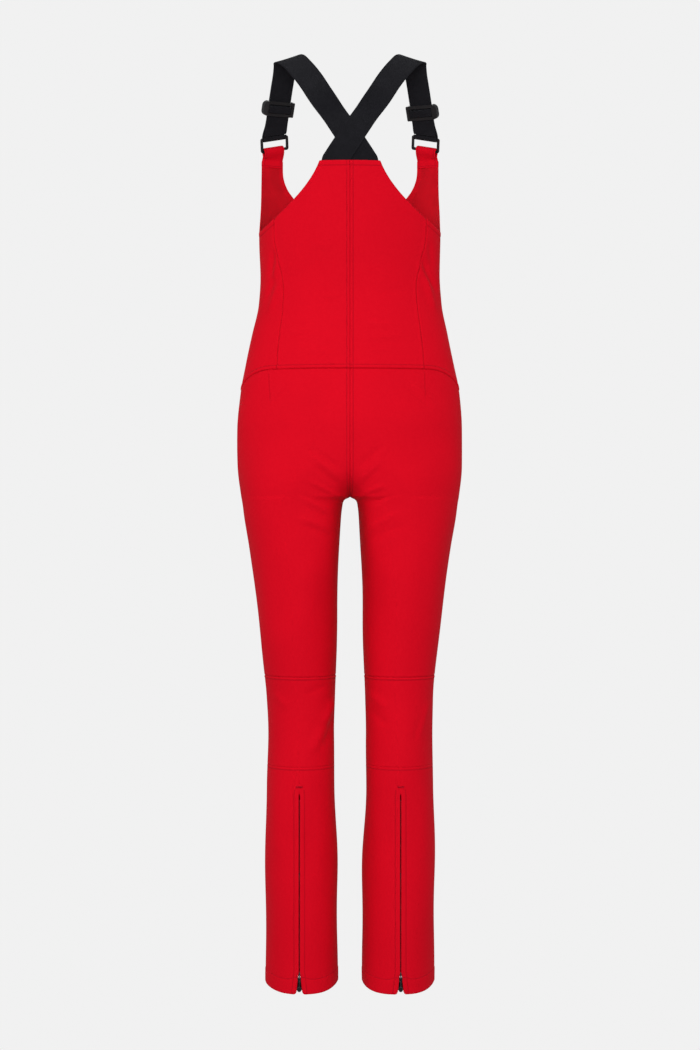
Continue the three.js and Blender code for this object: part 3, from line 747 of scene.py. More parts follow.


def worn_edges(nodes, low):
    geometry = nodes.tree.nodes.new("ShaderNodeNewGeometry")
    return nodes.ramp(geometry.outputs["Pointiness"], low, 0.6)


def stitches(nodes, along_v, along_u):
    """Masks of the stitch channel and of the thread in it, for the two directions."""
    u, v = nodes.cloth_uv()
    grooves, threads = [], []
    for distance, along in ((along_v, v), (along_u, u)):
        grooves.append(nodes.ramp(distance, 1.25, 0.35))
        cycle = nodes.operate("FRACT", nodes.mul(along, 1 / STITCH_PITCH))
        dash = nodes.ramp(nodes.size(nodes.sub(cycle, 0.5)), 0.44, 0.34)
        threads.append(nodes.mul(nodes.ramp(distance, 0.62, 0.3), dash))
    return nodes.most(*grooves), nodes.most(*threads)


def shell_material(name, base, shade, thread_colour):
    nodes = Nodes(name)
    seam = nodes.attribute("seam")
    sides, ends = (
        nodes.least(*(nodes.size(nodes.attribute("st_" + key)) for key in pair))
        for pair in (("left", "right"), ("low", "high")))
    channel, thread = stitches(nodes, sides, ends)
    line = nodes.ramp(nodes.size(nodes.attribute("line_d")), 1.6, 0.3)
    reach = nodes.attribute("line_t")
    line = nodes.mul(line, nodes.mul(nodes.ramp(reach, -1, 1), nodes.ramp(reach, 52, 34)))
    join = nodes.ramp(seam, 1.3, 0.15)
    u, v = nodes.cloth_uv()
    weave = nodes.mul(nodes.wave(nodes.add(u, v), 1.1), nodes.wave(nodes.sub(u, v), 1.1))
    grain = nodes.noise(900, 2.0, 0.6)
    pucker = nodes.mul(nodes.wave(v, 9.0), nodes.ramp(seam, 9, 2))
    nodes.bump(nodes.total((channel, -0.22), (thread, 0.25), (line, -0.4), (weave, 0.02),
                           (grain, 0.08), (pucker, 0.05)))
    broad = nodes.noise(7.0, 2.0, 0.5)
    fine = nodes.noise(260, 3.0, 0.6)
    patches = nodes.ramp(broad, 0.3, 0.7, 0.0, 0.35)
    specks = nodes.ramp(fine, 0.3, 0.7, 0.0, 0.22)
    colour = nodes.mix(nodes.add(patches, specks), base, shade)
    # painted shade: the stitch channels, seam grooves and dart lines are darkened in colour,
    # besides their bump
    groove_shade = tuple(0.42 * c for c in base)
    seam_groove_shade = tuple(0.3 * c for c in base)
    for mask, weight, over in ((channel, 0.3, groove_shade), (join, 0.32, seam_groove_shade), (line, 0.2, groove_shade),
                               (thread, 0.75, thread_colour)):
        colour = nodes.mix(nodes.mul(mask, weight), colour, over)
    rough = nodes.ramp(fine, 0.2, 0.8, 0.72, 0.9)
    return nodes.set_cloth(colour, rough, 0.04, 0.03, 0.4, (1.0, 0.5, 0.55))


def backing_material(name, base, shade):
    nodes = Nodes(name)
    u, v = nodes.cloth_uv()
    shifted_v = nodes.add(v, nodes.mul(nodes.wave(u, 1.6), 0.3))
    knit = nodes.mul(nodes.wave(u, 1.6), nodes.wave(shifted_v, 1.9))
    fuzz = nodes.noise(700, 3.0, 0.7)
    nodes.bump(nodes.total((knit, 0.12), (fuzz, 0.25)))
    broad = nodes.noise(18.0, 3.0, 0.6)
    colour = nodes.mix(nodes.ramp(broad, 0.3, 0.7), base, shade)
    rough = nodes.ramp(fuzz, 0.3, 0.7, 0.82, 0.95)
    return nodes.set_cloth(colour, rough, 0.04, 0.06, 0.5, (1.0, 0.5, 0.5))


def webbing_material(name, base, light, rib=1.5, strand=2.4, ribs=0.22, shade_below=None):
    """Woven or elastic tape: ribs across it, strands along it, a plain selvedge."""
    nodes = Nodes(name)
    u, v = nodes.cloth_uv()
    strands = nodes.wave(u, strand)
    shift = nodes.mul(nodes.ramp(strands, -0.2, 0.2), rib / 2)
    rows = nodes.wave(nodes.add(v, shift), rib)
    edge = nodes.ramp(nodes.attribute("selvedge"), 1.2, 2.4)
    fuzz = nodes.noise(1100, 2.0, 0.6)
    nodes.bump(nodes.total((nodes.mul(rows, edge), ribs), (nodes.mul(strands, edge), 0.07),
                           (fuzz, 0.16)))
    patchy = nodes.ramp(nodes.noise(90, 2.0), 0.25, 0.75, 0.4, 1.0)
    share = nodes.mul(nodes.ramp(rows, -0.6, 1.0), patchy)
    colour = nodes.mix(share, base, light)
    # painted shade: the tape turns black towards its lower end, round the zip's pull
    if shade_below:
        colour = nodes.mix(nodes.ramp(v, shade_below, shade_below - 6), colour, ZIP_END_SHADE)
    rough = nodes.ramp(fuzz, 0.3, 0.7, 0.7, 0.9)
    return nodes.set_cloth(colour, rough, 0.1, 0.04, 0.4, (0.8, 0.82, 0.9))


def plastic_material(name, base, worn, smoothest=0.36, shine=0.3):
    nodes = Nodes(name)
    grain = nodes.noise(1500, 2.0, 0.5)
    broad = nodes.noise(60, 3.0, 0.6)
    edge = worn_edges(nodes, 0.52)
    nodes.bump(nodes.mul(grain, 0.05))
    colour = nodes.mix(nodes.mul(edge, 0.5), base, worn)
    rough = nodes.ramp(broad, 0.3, 0.7, smoothest, smoothest + 0.12)
    return nodes.set(colour, nodes.add(rough, nodes.mul(edge, 0.12)), shine)


def metal_material(name, base, worn, smoothest=0.24, metallic=0.55):
    nodes = Nodes(name)
    broad = nodes.noise(120, 3.0, 0.6)
    scratch = nodes.noise(900, 3.0, 0.7)
    edge = worn_edges(nodes, 0.53)
    nodes.bump(nodes.mul(scratch, 0.04))
    colour = nodes.mix(nodes.mul(edge, nodes.ramp(broad, 0.35, 0.65)), base, worn)
    rough = nodes.ramp(scratch, 0.2, 0.8, smoothest, smoothest + 0.18)
    return nodes.set(colour, rough, 0.5, Metallic=metallic)


def coil_material(name, base):
    nodes = Nodes(name)
    grain = nodes.noise(2500, 2.0, 0.5)
    nodes.bump(nodes.mul(grain, 0.04))
    colour = nodes.mix(nodes.ramp(grain, 0.3, 0.7), base, tuple(1.6 * c for c in base))
    # painted shade: the teeth turn black in their lowest 30 mm, round the zip's pull
    height = nodes.split(nodes.place())[2]
    low = -SHOULDER_HEIGHT / 1000 + 0.03
    colour = nodes.mix(nodes.ramp(height, low, low - 0.006), colour, ZIP_END_SHADE)
    return nodes.set(colour, nodes.ramp(grain, 0.3, 0.7, 0.32, 0.5), 0.45)


RED = (0.70, 0.0022, 0.0135)
RED_SHADE = (0.60, 0.0018, 0.0115)
RED_THREAD = (0.55, 0.004, 0.016)
shell = shell_material("shell_softshell", RED, RED_SHADE, RED_THREAD)
# the knit texture is the backing's own; its slightly darker red is painted shade for the inside of
# the garment
inside = backing_material("shell_backing_painted_darker", (0.66, 0.004, 0.014), (0.54, 0.003, 0.011))
facing_cloth = shell_material("facing_cloth", (0.30, 0.004, 0.010), (0.24, 0.003, 0.008),
                              (0.4, 0.006, 0.015))
lining = backing_material("gaiter_cloth", (0.022, 0.022, 0.026), (0.03, 0.03, 0.034))
webbing = webbing_material("elastic_webbing", (0.0075, 0.0073, 0.0095), (0.0150, 0.0146, 0.0185))
elastic = webbing_material("gaiter_elastic", (0.010, 0.010, 0.011), (0.03, 0.03, 0.032),
                           rib=2.0, strand=1.3, ribs=0.3)
tape_cloth = webbing_material("zip_tape_cloth", (0.36, 0.0025, 0.012), (0.46, 0.004, 0.017),
                              rib=0.9, strand=1.2, ribs=0.08, shade_below=24)
plastic = plastic_material("moulded_acetal", (0.008, 0.008, 0.009), (0.022, 0.022, 0.024))
metal = metal_material("black_zinc", (0.05, 0.05, 0.052), (0.3, 0.3, 0.31))
lacquer = plastic_material("black_lacquer", (0.005, 0.005, 0.006), (0.03, 0.03, 0.032), 0.14, 0.35)
coil = coil_material("nylon_coil", (0.26, 0.004, 0.010))
thread = plastic_material("bartack_thread", (0.5, 0.004, 0.016), (0.5, 0.004, 0.016), 0.6, 0.05)
chrome = metal_material("polished_crown", (0.75, 0.75, 0.76), (0.8, 0.8, 0.8), 0.06, 1.0)


def edge(stitch=None, **more):
    return {"stitch": stitch, **more}


def hem(stitch, **more):
    """A turned edge, with no seam to draw beside it."""
    return edge(stitch, **{"groove": 0.2, "raised": 0.5, "channel": 0.4, "seam": False, **more})


def ride_as(obj, body, node):
    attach(obj, body)
    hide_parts(node)
    return obj


# A height at which each panel exists, where its rows are spaced out.
PROBE = {
    "back_leg": 700, "front_thigh": 700, "front_shin": 250, "back_knee": 430,
    "calf_outer": 180, "calf_inner": 180, "back_bib": 1100, "back_side": 1090,
    "front_bib": 1100,
}

# How the panels' edges are sewn: the stitching's distance, the shape beside it, and flags:
# centre is on the body's middle, faint draws a weaker seam, still keeps folds off the edge.
SEAM_SIDE = edge(None, groove=0.4, raised=0.2)
CENTRE = edge(5.0, groove=0.35, raised=0.25, channel=0.3, centre=True)
KNEE = edge(4.5, groove=0.55, raised=0.4, channel=0.3)
KNEE_FAINT = edge(4.5, groove=0.25, raised=0.15, channel=0.15, faint=0.7)
KNEE_PLAIN = edge(None, groove=0.5, raised=0.05)
KNEE_FAINT_PLAIN = edge(None, groove=0.25, raised=0.05, faint=0.7)
WAIST_OVER = edge(6.2, groove=0.9, raised=0.9, channel=0.5)
WAIST_UNDER = edge(None, groove=1.3, raised=0.0)
HEM = hem(23.0)
BIB_HEM = hem(8.0)
TAB_HEM = hem(10.0, raised=0.3, channel=0.3)
ZIP_LIP = hem(7.5, groove=0.1, raised=0.1, channel=0.35, still=True)
ANKLE_LIP = hem(7.5, groove=0.1, raised=0.1, channel=0.25, still=True, below=322)
PRINCESS = edge(None, groove=0.9, raised=0.6)
PRINCESS_SIDE = edge(None, groove=0.9, raised=0.1)

FINE = 3.8  # panel mesh spacing that still shows the small folds
DARTS = {"L": (129, 974, 126, 925), "R": (-117, 976, -118, 925)}
CROTCH_ROWS = (760, 768, 772, 775, 777.5, 779.5, CROTCH, 782.5, 784.5, 787, 790, 795, 800,
               806, 813, 821, 830)


def neck_rows():
    below = [NECKLINE - d for d in (10.2, 8.8, 8.0, 7.2, 5.5, 3.8, 2.2, 1.0, 0.0)]
    turns = np.radians([6, 10, 14, 19, 24, 30, 36, 42, 49, 56, 63, 70, 77, 84, 90])
    return below + [NECKLINE + NECKLINE_RISE * (1 - math.cos(t)) for t in turns]


def garment_specs(side):
    """Each panel's edges as angles and heights, how they are sewn, and its extra rows."""
    leg = around(SEAM_SIDE, CENTRE, KNEE_PLAIN, WAIST_UNDER)
    calf = around(SEAM_SIDE, ANKLE_LIP, HEM, KNEE_FAINT)
    calf_rows = dict(extra=(35, 300, 307, 312, 315, 321))
    knee, shin_top = level(KNEE_TOP), level(KNEE_BOTTOM)
    return [
        ("back_leg", side_seam, back_middle, knee, waist, leg,
         dict(extra=CROTCH_ROWS, spacing=FINE, dart=DARTS[side])),
        ("front_thigh", side_seam, front_middle, knee, waist, leg,
         dict(extra=CROTCH_ROWS + (884, 894), spacing=5.0)),
        ("front_shin", side_seam, inseam(-1), hem_rise, knee,
         around(SEAM_SIDE, SEAM_SIDE, HEM, KNEE), {}),
        ("back_knee", side_seam, inseam(1), shin_top, knee,
         around(SEAM_SIDE, SEAM_SIDE, KNEE_FAINT_PLAIN, KNEE), dict(spacing=FINE)),
        ("calf_outer", side_seam, calf_lip(1), calf_hem(1), shin_top, calf, calf_rows),
        ("calf_inner", inseam(1), calf_lip(-1), calf_hem(-1), shin_top, calf, calf_rows),
        ("back_bib", back_middle, back_bib_edge, waist, level(BACK_TOP),
         around(CENTRE, PRINCESS, WAIST_OVER, BIB_HEM),
         dict(extra=(1222, 1236, 1250), spacing=FINE)),
        ("back_side", side_seam, princess, waist, armhole_side,
         around(SEAM_SIDE, PRINCESS_SIDE, WAIST_OVER, BIB_HEM), dict(spacing=FINE)),
        ("front_bib", front_bib_side, front_bib_middle, waist, tab_top,
         around(SEAM_SIDE, ZIP_LIP, WAIST_OVER, TAB_HEM), dict(extra=(ARMPIT, *neck_rows()))),
    ]


for side in "LR":
    for base_name, start, end, low, high, sewn, more in garment_specs(side):
        node = f"{base_name}_{side}"
        obj = panel(f"{node}_cloth", side, start, end, low, high, sewn, [shell, inside],
                    PROBE[base_name], **more)
        soften(obj, 0.45)
        ride_as(obj, "trousers", node)

# ---- ribbons
def resample(values, keys, step):
    """A smooth curve through stops; keys are the lengths at the stops."""
    values = np.asarray(values, float)
    slope = np.zeros_like(values)
    gap = np.diff(keys)[:, None]
    rate = np.diff(values, axis=0) / gap
    slope[1:-1] = (rate[:-1] * gap[1:] + rate[1:] * gap[:-1]) / (gap[1:] + gap[:-1])
    slope[0], slope[-1] = rate[0], rate[-1]
    wanted = np.linspace(keys[0], keys[-1], max(3, int(round((keys[-1] - keys[0]) / step)) + 1))
    i = np.clip(np.searchsorted(keys, wanted, side="right") - 1, 0, len(keys) - 2)
    h = (keys[i + 1] - keys[i])[:, None]
    t = ((wanted - keys[i]) / h[:, 0])[:, None]
    return hermite(values[i], values[i + 1], slope[i], slope[i + 1], h, t)


def ribbon(name, path, width, thick, materials, step, columns, mirror=False, stitch=None):
    """A tape along a path of points, each with the direction across the tape there."""
    points, across = (np.array(values, float) for values in zip(*path))
    keys = lengths_along(points)
    both = resample(np.hstack([points, across]), keys, step)
    p, side = both[:, :3], both[:, 3:]
    side = unit_rows(side)
    out = unit_rows(np.cross(unit_rows(np.gradient(p, axis=0)), side))
    edge_in = np.array([0, 0.25, 0.6, 1.2, 2.2])
    inner = np.linspace(2.2, width - 2.2, columns)[1:-1]
    u = np.concatenate([edge_in, inner, width - edge_in[::-1]])
    away = np.minimum(u, width - u)
    half_thick = thick / 2 * (0.32 + 0.68 * np.sqrt(np.clip(away / 0.9, 0, 1)))
    half_thick = half_thick * np.where(away < 2.0, 0.88, 1.0)
    middle = p[:, None] + side[:, None] * (u - width / 2)[None, :, None]
    lift = out[:, None] * half_thick[None, :, None]
    flip = [-1 if mirror else 1, 1, 1]
    n, m = middle.shape[:2]
    length = lengths_along(p)
    uv = np.stack(np.broadcast_arrays(u[None, :], length[:, None]), -1)
    values = {"selvedge": np.broadcast_to(away[None, :], (n, m))}
    if stitch is not None:
        ends = np.minimum(length, length[-1] - length)
        values.update(no_marks((n, m)))
        values["st_left"] = values["selvedge"] - stitch
        values["st_low"] = np.broadcast_to(ends[:, None], (n, m)) - 3
    return sheet_mesh(name, (middle + lift) * flip, (middle - lift) * flip,
                      shell_faces(n, m)[0], materials, None, uv, values)


def join(parts):
    """One list of points and one of faces out of several."""
    points, faces, count = [], [], 0
    for p, f in parts:
        points.append(np.asarray(p, float))
        faces += [[count + int(i) for i in face] for face in f]
        count += len(p)
    return np.concatenate(points), faces


def rod(path, radii, sides=8):
    """A closed rod round a path, with a radius at each point."""
    path = np.asarray(path, float)
    along = unit_rows(np.gradient(path, axis=0))
    seed = np.array([0, 1, 0]) if abs(along[0][1]) < 0.8 else np.array([1, 0, 0])
    points = []
    side = np.cross(along[0], seed)
    for p, t, radius in zip(path, along, radii):
        side = side - t * (side @ t)
        side /= np.linalg.norm(side)
        other = np.cross(t, side)
        for i in range(sides):
            turn = 2 * math.pi * i / sides
            points.append(p + radius * (math.cos(turn) * side + math.sin(turn) * other))
    first = range(0, len(points) - sides, sides)
    faces = [[k + i, k + (i + 1) % sides, k + sides + (i + 1) % sides, k + sides + i]
             for k in first for i in range(sides)]
    ends = [list(range(sides))[::-1], list(range(len(points) - sides, len(points)))]
    return np.array(points), faces + ends


SLEEVE_COLUMNS = 240
PLEATS = 34


def sleeve(name, side, levels, depth, thick, material):
    """A closed tube of cloth, which stands in from the leg by depth."""
    angles = np.linspace(0, 2 * math.pi, SLEEVE_COLUMNS, endpoint=False)
    grid_angle, grid_z = np.meshgrid(angles, np.asarray(levels, float))
    turned = np.where(grid_angle > math.pi, grid_angle - 2 * math.pi, grid_angle)
    outer, direction = surface(turned, grid_z, depth(grid_angle, grid_z))
    inner = outer - direction * thick
    n, m = grid_angle.shape
    index = np.arange(n * m).reshape(n, m)
    right = np.roll(index, -1, axis=1)
    quads = np.stack([index[:-1], right[:-1], right[1:], index[1:]], -1).reshape(-1, 4)
    faces = [*quads.tolist(), *back_of(quads, n * m).tolist()]
    for row in (0, n - 1):
        ring = np.stack([right[row], index[row], index[row] + n * m, right[row] + n * m], -1)
        faces += (ring if row == 0 else ring[:, ::-1]).tolist()
    u = np.cumsum(np.linalg.norm(np.roll(outer, -1, axis=1) - outer, axis=2), axis=1)
    away = np.minimum(grid_z - levels[0], levels[-1] - grid_z)
    flip = [1 if side == "L" else -1, 1, 1]
    obj = sheet_mesh(name, outer * flip, inner * flip, faces, [material, material], None,
                     np.stack([u, grid_z], -1), {"selvedge": away})
    girth, height = float(u[:, -1].max()), float(levels[-1] - levels[0])
    sheets.append((obj, girth, height, girth * height))
    return obj


def unit(v):
    v = np.asarray(v, float)
    return v / np.linalg.norm(v)


RING_AT = np.array([123, -57.5, 1364.0])
RUN_UP = unit([-0.16, 0.3, 0.94])
RUN_ACROSS = np.array([0.872, 0.489, -0.03])
RUN_ACROSS = unit(RUN_ACROSS - RUN_UP * (RUN_ACROSS @ RUN_UP))
RUN_OUT = unit(np.cross(RUN_ACROSS, RUN_UP))
RING_ACROSS = unit([0.885, 0.41, -0.2])
RING_UP = unit(RUN_UP - RING_ACROSS * (RUN_UP @ RING_ACROSS))
RING_OUT = unit(np.cross(RING_ACROSS, RING_UP))
RING_BARS = 20
PLY_OUT = 3.8
BRACE_WIDTH = 40
BRACE_THICK = 1.6
BRACE_COLUMNS = 18
BRACE_INWARD = {"L": 8.5, "R": 5}  # depth of the sewn end behind the back bib
RETURN_WIDTH = 39
RETURN_THICK = 1.4
ADJUSTER_AT = {"L": 48, "R": 42}
CROSS_Z = 1344
CROSS_LEAN = math.radians(33)
STRAIGHTENED = 0.5  # the sewn-in end turns upright by this slope
HALF_TURN = [math.radians(degrees) for degrees in range(0, 181, 20)]


def run_point(along, out):
    return RING_AT + RUN_UP * along + RUN_OUT * out


def brace_path(inward):
    """Points and directions across the webbing, from the back bib to the ring."""
    path = []
    for z in (BACK_TOP - 23, BACK_TOP - 3, BACK_TOP + 4, 1322, CROSS_Z, 1360, 1385):
        x = (z - CROSS_Z) * math.tan(CROSS_LEAN)
        x += max(0, BACK_TOP - 3 - z) * STRAIGHTENED
        away = max(0, z - BACK_TOP)
        p, _ = surface(angle_at(abs(x), BACK_TOP, 1), BACK_TOP)
        y = float(np.ravel(p)[1]) - inward - away**2 / 330
        turned = np.clip(-x / 216, -0.2, 0.2) * max(0, 1 - away / 30)
        forward = math.sin(CROSS_LEAN) * 2 * away / 330
        path.append(((x, y, z),
                     unit([math.cos(CROSS_LEAN), turned + forward, -math.sin(CROSS_LEAN)])))
    level_across = np.array([math.cos(CROSS_LEAN), 0, -math.sin(CROSS_LEAN)])
    crest = np.array([0.914, 0, -0.407])
    upper = [(45, 63, 1411), (64.5, 44, 1443), (80.5, 26, 1465), (92.5, 10, 1478.5),
             (100.5, -4, 1482.3), (104, -15, 1479.5), (105.2, -22, 1473)]
    for i, p in enumerate(upper):
        t = (i + 1) / len(upper)
        turned = (lerp(level_across, crest, t / 0.6) if t < 0.6
                  else lerp(crest, RUN_ACROSS, (t - 0.6) / 0.4))
        path.append((p, unit(turned)))
    path += [(run_point(along, 0), RUN_ACROSS) for along in (106, 80, 50, 20)]
    path += [(RING_AT + RING_OUT * PLY_OUT * math.cos(turn) - RING_UP * PLY_OUT * math.sin(turn),
              RING_ACROSS) for turn in HALF_TURN]
    return path + [(RING_AT - RING_OUT * PLY_OUT + RING_UP * 4, RING_ACROSS)]


TAB_ACROSS = unit([0.891, 0.454, 0])
LOOP_SHIFT = 2.6
LOOP_RADIUS = 4.9
LOOP_WIDTH = 35
LOOP_THICK = 1.6
LOOP_STITCH = 3.0
TAB_STOPS = [(127, 1317, 1.9), (127, 1323, 1.9), (126.8, 1329, 2.0)]
NARROW_STOPS = [(-28.5, 3.3), (-24.5, 4.6)]


def tab_point(x, z, out):
    p, direction = surface(angle_at(x, z, -1), z, FABRIC / 2)
    return np.ravel(p + direction * out)


def loop_point(along, out):
    return RING_AT + RING_UP * along + RING_OUT * out + RING_ACROSS * LOOP_SHIFT


def loop_path():
    """Up the outside of the tab, round the ring's lower bar and down the inside."""
    path = [(tab_point(x, z, out), TAB_ACROSS) for x, z, out in TAB_STOPS]
    path += [(loop_point(along, out), RING_ACROSS) for along, out in NARROW_STOPS]
    path += [(loop_point(-RING_BARS + LOOP_RADIUS * math.sin(turn), LOOP_RADIUS * math.cos(turn)),
              RING_ACROSS) for turn in HALF_TURN]
    path += [(loop_point(along, -out), RING_ACROSS) for along, out in reversed(NARROW_STOPS)]
    return path + [(tab_point(x, z, -out), TAB_ACROSS) for x, z, out in reversed(TAB_STOPS)]


for side, inward in BRACE_INWARD.items():
    mirror = side == "R"
    brace = ribbon(f"brace_{side}_webbing", brace_path(inward), BRACE_WIDTH, BRACE_THICK,
                   [webbing], 2.0, BRACE_COLUMNS, mirror)
    ride_as(brace, "trousers", f"brace_{side}")
    bar = ADJUSTER_AT[side]
    path = [(RING_AT - RING_OUT * PLY_OUT + RING_UP * 5, RING_ACROSS)]
    path += [(run_point(along, out), RUN_ACROSS) for along, out in (
        (14, -2.6), (22, -1.9), (bar - 2, -1.9), (bar + 2.5, -1.9), (bar + 4.2, -3.75),
        (bar + 2.5, -5.6), (bar - 2, -5.6), (bar - 6.5, -5.4))]
    tail = ribbon(f"brace_return_{side}_webbing", path, RETURN_WIDTH, RETURN_THICK, [webbing],
                  1.5, BRACE_COLUMNS, mirror)
    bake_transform(tail)
    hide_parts(f"brace_return_{side}")
    loop = ribbon(f"ring_loop_{side}_cloth", loop_path(), LOOP_WIDTH, LOOP_THICK, [shell], 1.2,
                  14, mirror, LOOP_STITCH)
    ride_as(loop, "trousers", f"ring_loop_{side}")

# ---- zips
TAPE_Y = -6.3
TAPE_MIDDLE = 5.7
TAPE_WIDTH = 9.4
TAPE_THICK = 0.7
COIL_Y = -5.2
COIL_PITCH = 1.5
COIL_LOOP = [(2.6, -1.0, 0.0), (1.4, -0.95, 0.1), (0.2, -0.5, 0.16), (-0.45, 0.0, 0.0),
             (0.2, 0.5, -0.16), (1.4, 0.7, -0.1), (2.6, 0.6, 0.0)]


def zip_tape(name, line_x, line_y, sign, facing, low, high):
    middle = line_x + sign * TAPE_MIDDLE * facing
    path = [((middle, line_y + facing * TAPE_Y, z), (facing, 0, 0))
            for z in np.linspace(low, high, 8)]
    return ribbon(name, path, TAPE_WIDTH, TAPE_THICK, [tape_cloth], 4, 8)


def coil_row(name, line_x, line_y, sign, facing, low, high):
    """One side's teeth: bent loops of nylon, each with its head on the zip's line."""
    parts = []
    phase = 0.0 if sign > 0 else COIL_PITCH / 2
    for k in range(int((high - low - 1.6) / COIL_PITCH)):
        z = low + 0.8 + phase + k * COIL_PITCH
        path = [(line_x + facing * sign * x, line_y + facing * (COIL_Y + y), z + dz)
                for x, y, dz in COIL_LOOP]
        parts.append(rod(path, (0.3, 0.34, 0.38, 0.5, 0.38, 0.34, 0.3), sides=6))
    return make_mesh(name, *join(parts), [coil])


for side in "LR":
    out_sign = 1 if side == "L" else -1
    x = out_sign * ANKLE_ZIP_X
    for kind, end, line, tape_span, teeth_span in (
            ("ankle", f"outer_{side}", (x, CALF_BACK, out_sign, 1), (6, 321), (9, 307)),
            ("ankle", f"inner_{side}", (x, CALF_BACK, -out_sign, 1), (6, 321), (9, 307)),
            ("front", side, (0, BIB_FRONT, -out_sign, -1), (887, 1231), (895, 1228))):
        node = f"{kind}_tape_{end}"
        ride_as(zip_tape(f"{node}_woven", *line, *tape_span), "trousers", node)
        node = f"{kind}_teeth_{end}"
        ride_as(coil_row(f"{node}_coil", *line, *teeth_span), "trousers", node)

    # satin-stitched bar over the zip's upper end
    parts = []
    for k in range(17):
        bar_x = x + (k - 8) * 0.6
        path = [(bar_x, CALF_BACK + 0.25 + 0.75 * math.sin(math.pi * t), 323.9 + 3.2 * t)
                for t in np.linspace(0, 1, 7)]
        parts.append(rod(path, (0.2, 0.3, 0.33, 0.33, 0.33, 0.3, 0.2), sides=6))
    bar = make_mesh(f"ankle_bartack_{side}_thread", *join(parts), [thread])
    ride_as(bar, "trousers", f"ankle_bartack_{side}")

# ---- gaiters and facing
def gaiter_depth(angle, z):
    """Gathered into pleats at the elastic, and looser above it."""
    near = np.exp(-(((z - 39) / 16) ** 2))
    pleat = 0.5 - 0.5 * np.cos(PLEATS * angle + 1.3 * np.sin(5 * angle))
    loose = 0.7 * np.sin(3 * angle + z / 31) * smooth((z - 50) / 40)
    return (11 - 6.0 * smooth((z - 120) / 66)) + (1.6 * near * pleat + loose)


def elastic_depth(angle, z):
    return 13.9 + 0.25 * np.cos(PLEATS * angle)


GAITER_LEVELS = np.concatenate([np.linspace(30, 52, 14), np.linspace(56, 186, 22), [188, 190]])
for side in "LR":
    gaiter = sleeve(f"snow_gaiter_{side}_cloth", side, GAITER_LEVELS, gaiter_depth, 0.8, lining)
    ride_as(gaiter, "trousers", f"snow_gaiter_{side}")
    band = sleeve(f"gaiter_elastic_{side}_band", side, np.linspace(32, 46, 9), elastic_depth,
                  1.0, elastic)
    ride_as(band, "trousers", f"gaiter_elastic_{side}")

facing_edge = hem(3.5, groove=0.0, raised=0.2, channel=0.3)
facing = panel(
    "back_bib_facing_cloth", "L", level(np.radians(73)), level(np.radians(107)),
    level(BACK_TOP - 30), level(BACK_TOP - 3), around(*[facing_edge] * 4),
    [facing_cloth, facing_cloth], BACK_TOP - 17, spacing=4.0, thick=0.8, inward=12.0)
ride_as(facing, "trousers", "back_bib_facing")

# ---- moulded and cast pieces
def finish_hard(node, material, width):
    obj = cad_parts[node]
    obj.data.materials.clear()
    obj.data.materials.append(material)
    weld = obj.modifiers.new("welded", "WELD")
    weld.merge_threshold = 1e-6
    soften(obj, width, 3, 28)
    obj.modifiers.new("even_normals", "WEIGHTED_NORMAL")
    return obj


def shaped_pull(side):
    """The ankle zip's pull: a long eye on the slider's bridge, a stem and a finger ring."""
    x = ANKLE_ZIP_X if side == "L" else -ANKLE_ZIP_X
    y = CALF_BACK + 1.6
    turns = np.linspace(0, 2 * math.pi, 33)
    parts = []
    for middle, half_width, half_height, radius in ((-3.2, 2.1, 3.2, 0.62),
                                                    (-19.4, 2.9, 3.6, 0.8)):
        z = ANKLE_SLIDER_Z + middle
        path = [(x + half_width * math.sin(t), y, z + half_height * math.cos(t))
                for t in turns]
        parts.append(rod(path, [radius] * len(path), sides=10))
    stem = [(x, y, ANKLE_SLIDER_Z + z) for z in np.linspace(-6.2, -16.0, 9)]
    parts.append(rod(stem, (0.8, 1.1, 1.2, 1.25, 1.25, 1.25, 1.2, 1.1, 0.8), sides=10))
    # painted shade: a thin black disc closes the finger ring's hole, standing in for the shade
    # seen through it
    hole_shade_disc = [(x, y + d, ANKLE_SLIDER_Z - 19.4) for d in (-0.35, -0.3, 0.3, 0.35)]
    parts.append(rod(hole_shade_disc, (2.6, 2.8, 2.8, 2.6), sides=24))
    plain = sum(len(f) for _, f in parts)
    rise = np.linspace(-math.pi / 2 + 0.05, math.pi / 2 - 0.05, 13)
    crown = [(x, y + 1.35 * math.sin(t), ANKLE_SLIDER_Z) for t in rise]
    parts.append(rod(crown, 2.2 * np.cos(rise), sides=20))
    points, faces = join(parts)
    shiny = [0] * plain + [1] * (len(faces) - plain)
    return make_mesh(f"ankle_pull_{side}_cast", points, faces, [lacquer, chrome], shiny)


for side in "LR":
    finish_hard(f"adjuster_{side}", plastic, 0.8)
    finish_hard(f"ring_{side}", plastic, 0.7)
    finish_hard(f"ankle_slider_{side}", metal, 0.2)
    ride_as(shaped_pull(side), f"ankle_pull_{side}", f"ankle_pull_{side}")
for node, width in (("front_slider", 0.2), ("front_pull", 0.25), ("front_zip_stop", 0.25)):
    finish_hard(node, metal, width)

# ---- floor, light, camera
FLOOR_Z = -SHOULDER_HEIGHT / 1000 - 0.004
FLOOR_SIDES = 64
FLOOR_RADIUS = 40  # metres
PALE = 0.879
FLOOR_LIGHT = 0.34
WORLD_LIGHT = 0.43


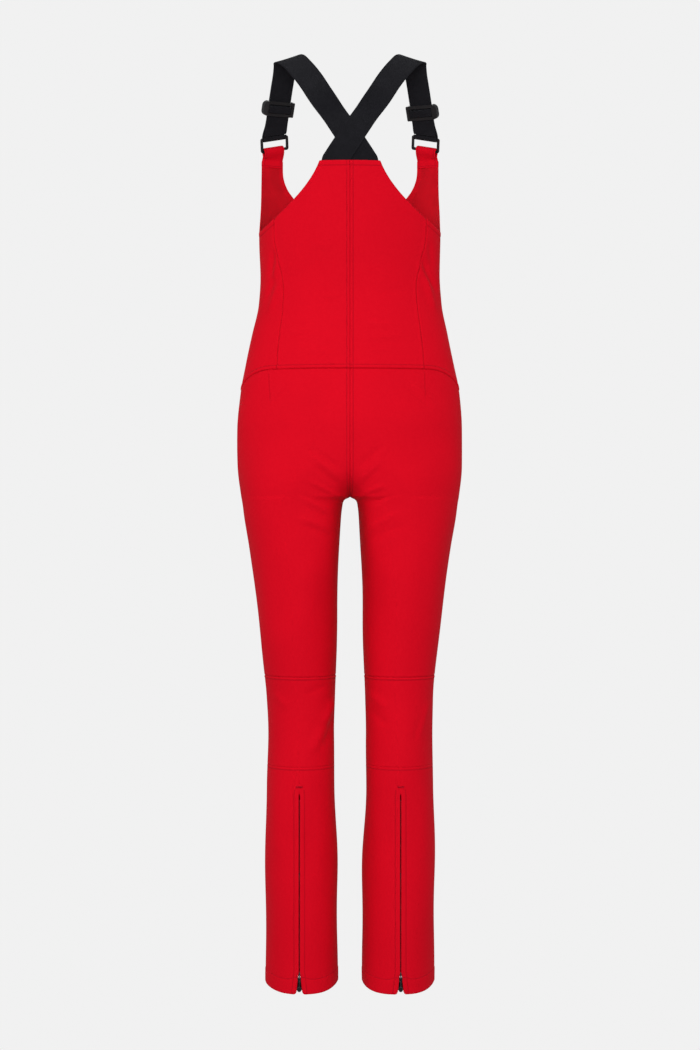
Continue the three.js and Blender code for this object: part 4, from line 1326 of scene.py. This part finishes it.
def seen_and_lit(tree, kind, out_kind, strength):
    """Pale paper to the camera, and a plain light of the given strength to everything else."""
    tree.nodes.clear()
    out = tree.nodes.new(out_kind)
    seen, lit = tree.nodes.new(kind), tree.nodes.new(kind)
    seen.inputs[0].default_value = (PALE, PALE, PALE, 1)
    lit.inputs[0].default_value = (1, 1, 1, 1)
    lit.inputs[1].default_value = strength
    path = tree.nodes.new("ShaderNodeLightPath")
    mix = tree.nodes.new("ShaderNodeMixShader")
    for source, target in ((path.outputs["Is Camera Ray"], mix.inputs[0]),
                           (lit.outputs[0], mix.inputs[1]), (seen.outputs[0], mix.inputs[2]),
                           (mix.outputs[0], out.inputs[0])):
        tree.links.new(source, target)


def stage_floor():
    mesh = bpy.data.meshes.new("floor")
    turns = [2 * math.pi * i / FLOOR_SIDES for i in range(FLOOR_SIDES)]
    rim = [(FLOOR_RADIUS * math.cos(t), FLOOR_RADIUS * math.sin(t), FLOOR_Z) for t in turns]
    mesh.from_pydata(rim, [], [list(range(FLOOR_SIDES))])
    floor = placed("floor", mesh)
    material = bpy.data.materials.new("floor_paper")
    material.use_nodes = True
    seen_and_lit(material.node_tree, "ShaderNodeEmission", "ShaderNodeOutputMaterial",
                 FLOOR_LIGHT)
    mesh.materials.append(material)


def studio():
    world = bpy.data.worlds.new("studio")
    bpy.context.scene.world = world
    world.use_nodes = True
    seen_and_lit(world.node_tree, "ShaderNodeBackground", "ShaderNodeOutputWorld",
                 WORLD_LIGHT)


def lamp(name, place, target, size, power):
    data = bpy.data.lights.new(name, "AREA")
    data.shape = "RECTANGLE"
    data.size, data.size_y = size
    data.energy = power
    obj = placed(name, data)
    obj.location = place
    direction = Vector(target) - obj.location
    obj.rotation_euler = direction.to_track_quat("-Z", "Y").to_euler()


stage_floor()
studio()
# The place, the spot it looks at, its width and height in metres, and its power in watts.
lamp("key", (0.15, 2.9, -0.1), (0, 0, -0.6), (1.8, 1.2), 53)
lamp("side_left", (2.4, 0.8, 0.2), (0, 0, -0.7), (0.8, 2.0), 13)
lamp("side_right", (-2.4, 0.8, 0.2), (0, 0, -0.7), (0.8, 2.0), 9)
lamp("front", (0, -3.0, 0.9), (0, 0, -0.5), (2.0, 1.4), 60)

camera_data = bpy.data.cameras.new("camera")
camera_data.lens = 85
camera_data.sensor_fit = "VERTICAL"
camera_data.sensor_height = 36
camera = placed("camera", camera_data)
camera.location = (0, 3.967, -0.7455)
camera.rotation_euler = (math.radians(90), 0, math.radians(180))
bpy.context.scene.camera = camera
bpy.context.scene.view_settings.view_transform = "Standard"

for obj, width, length, area in sheets:
    width, length = math.ceil(width) / 1000, math.ceil(length) / 1000
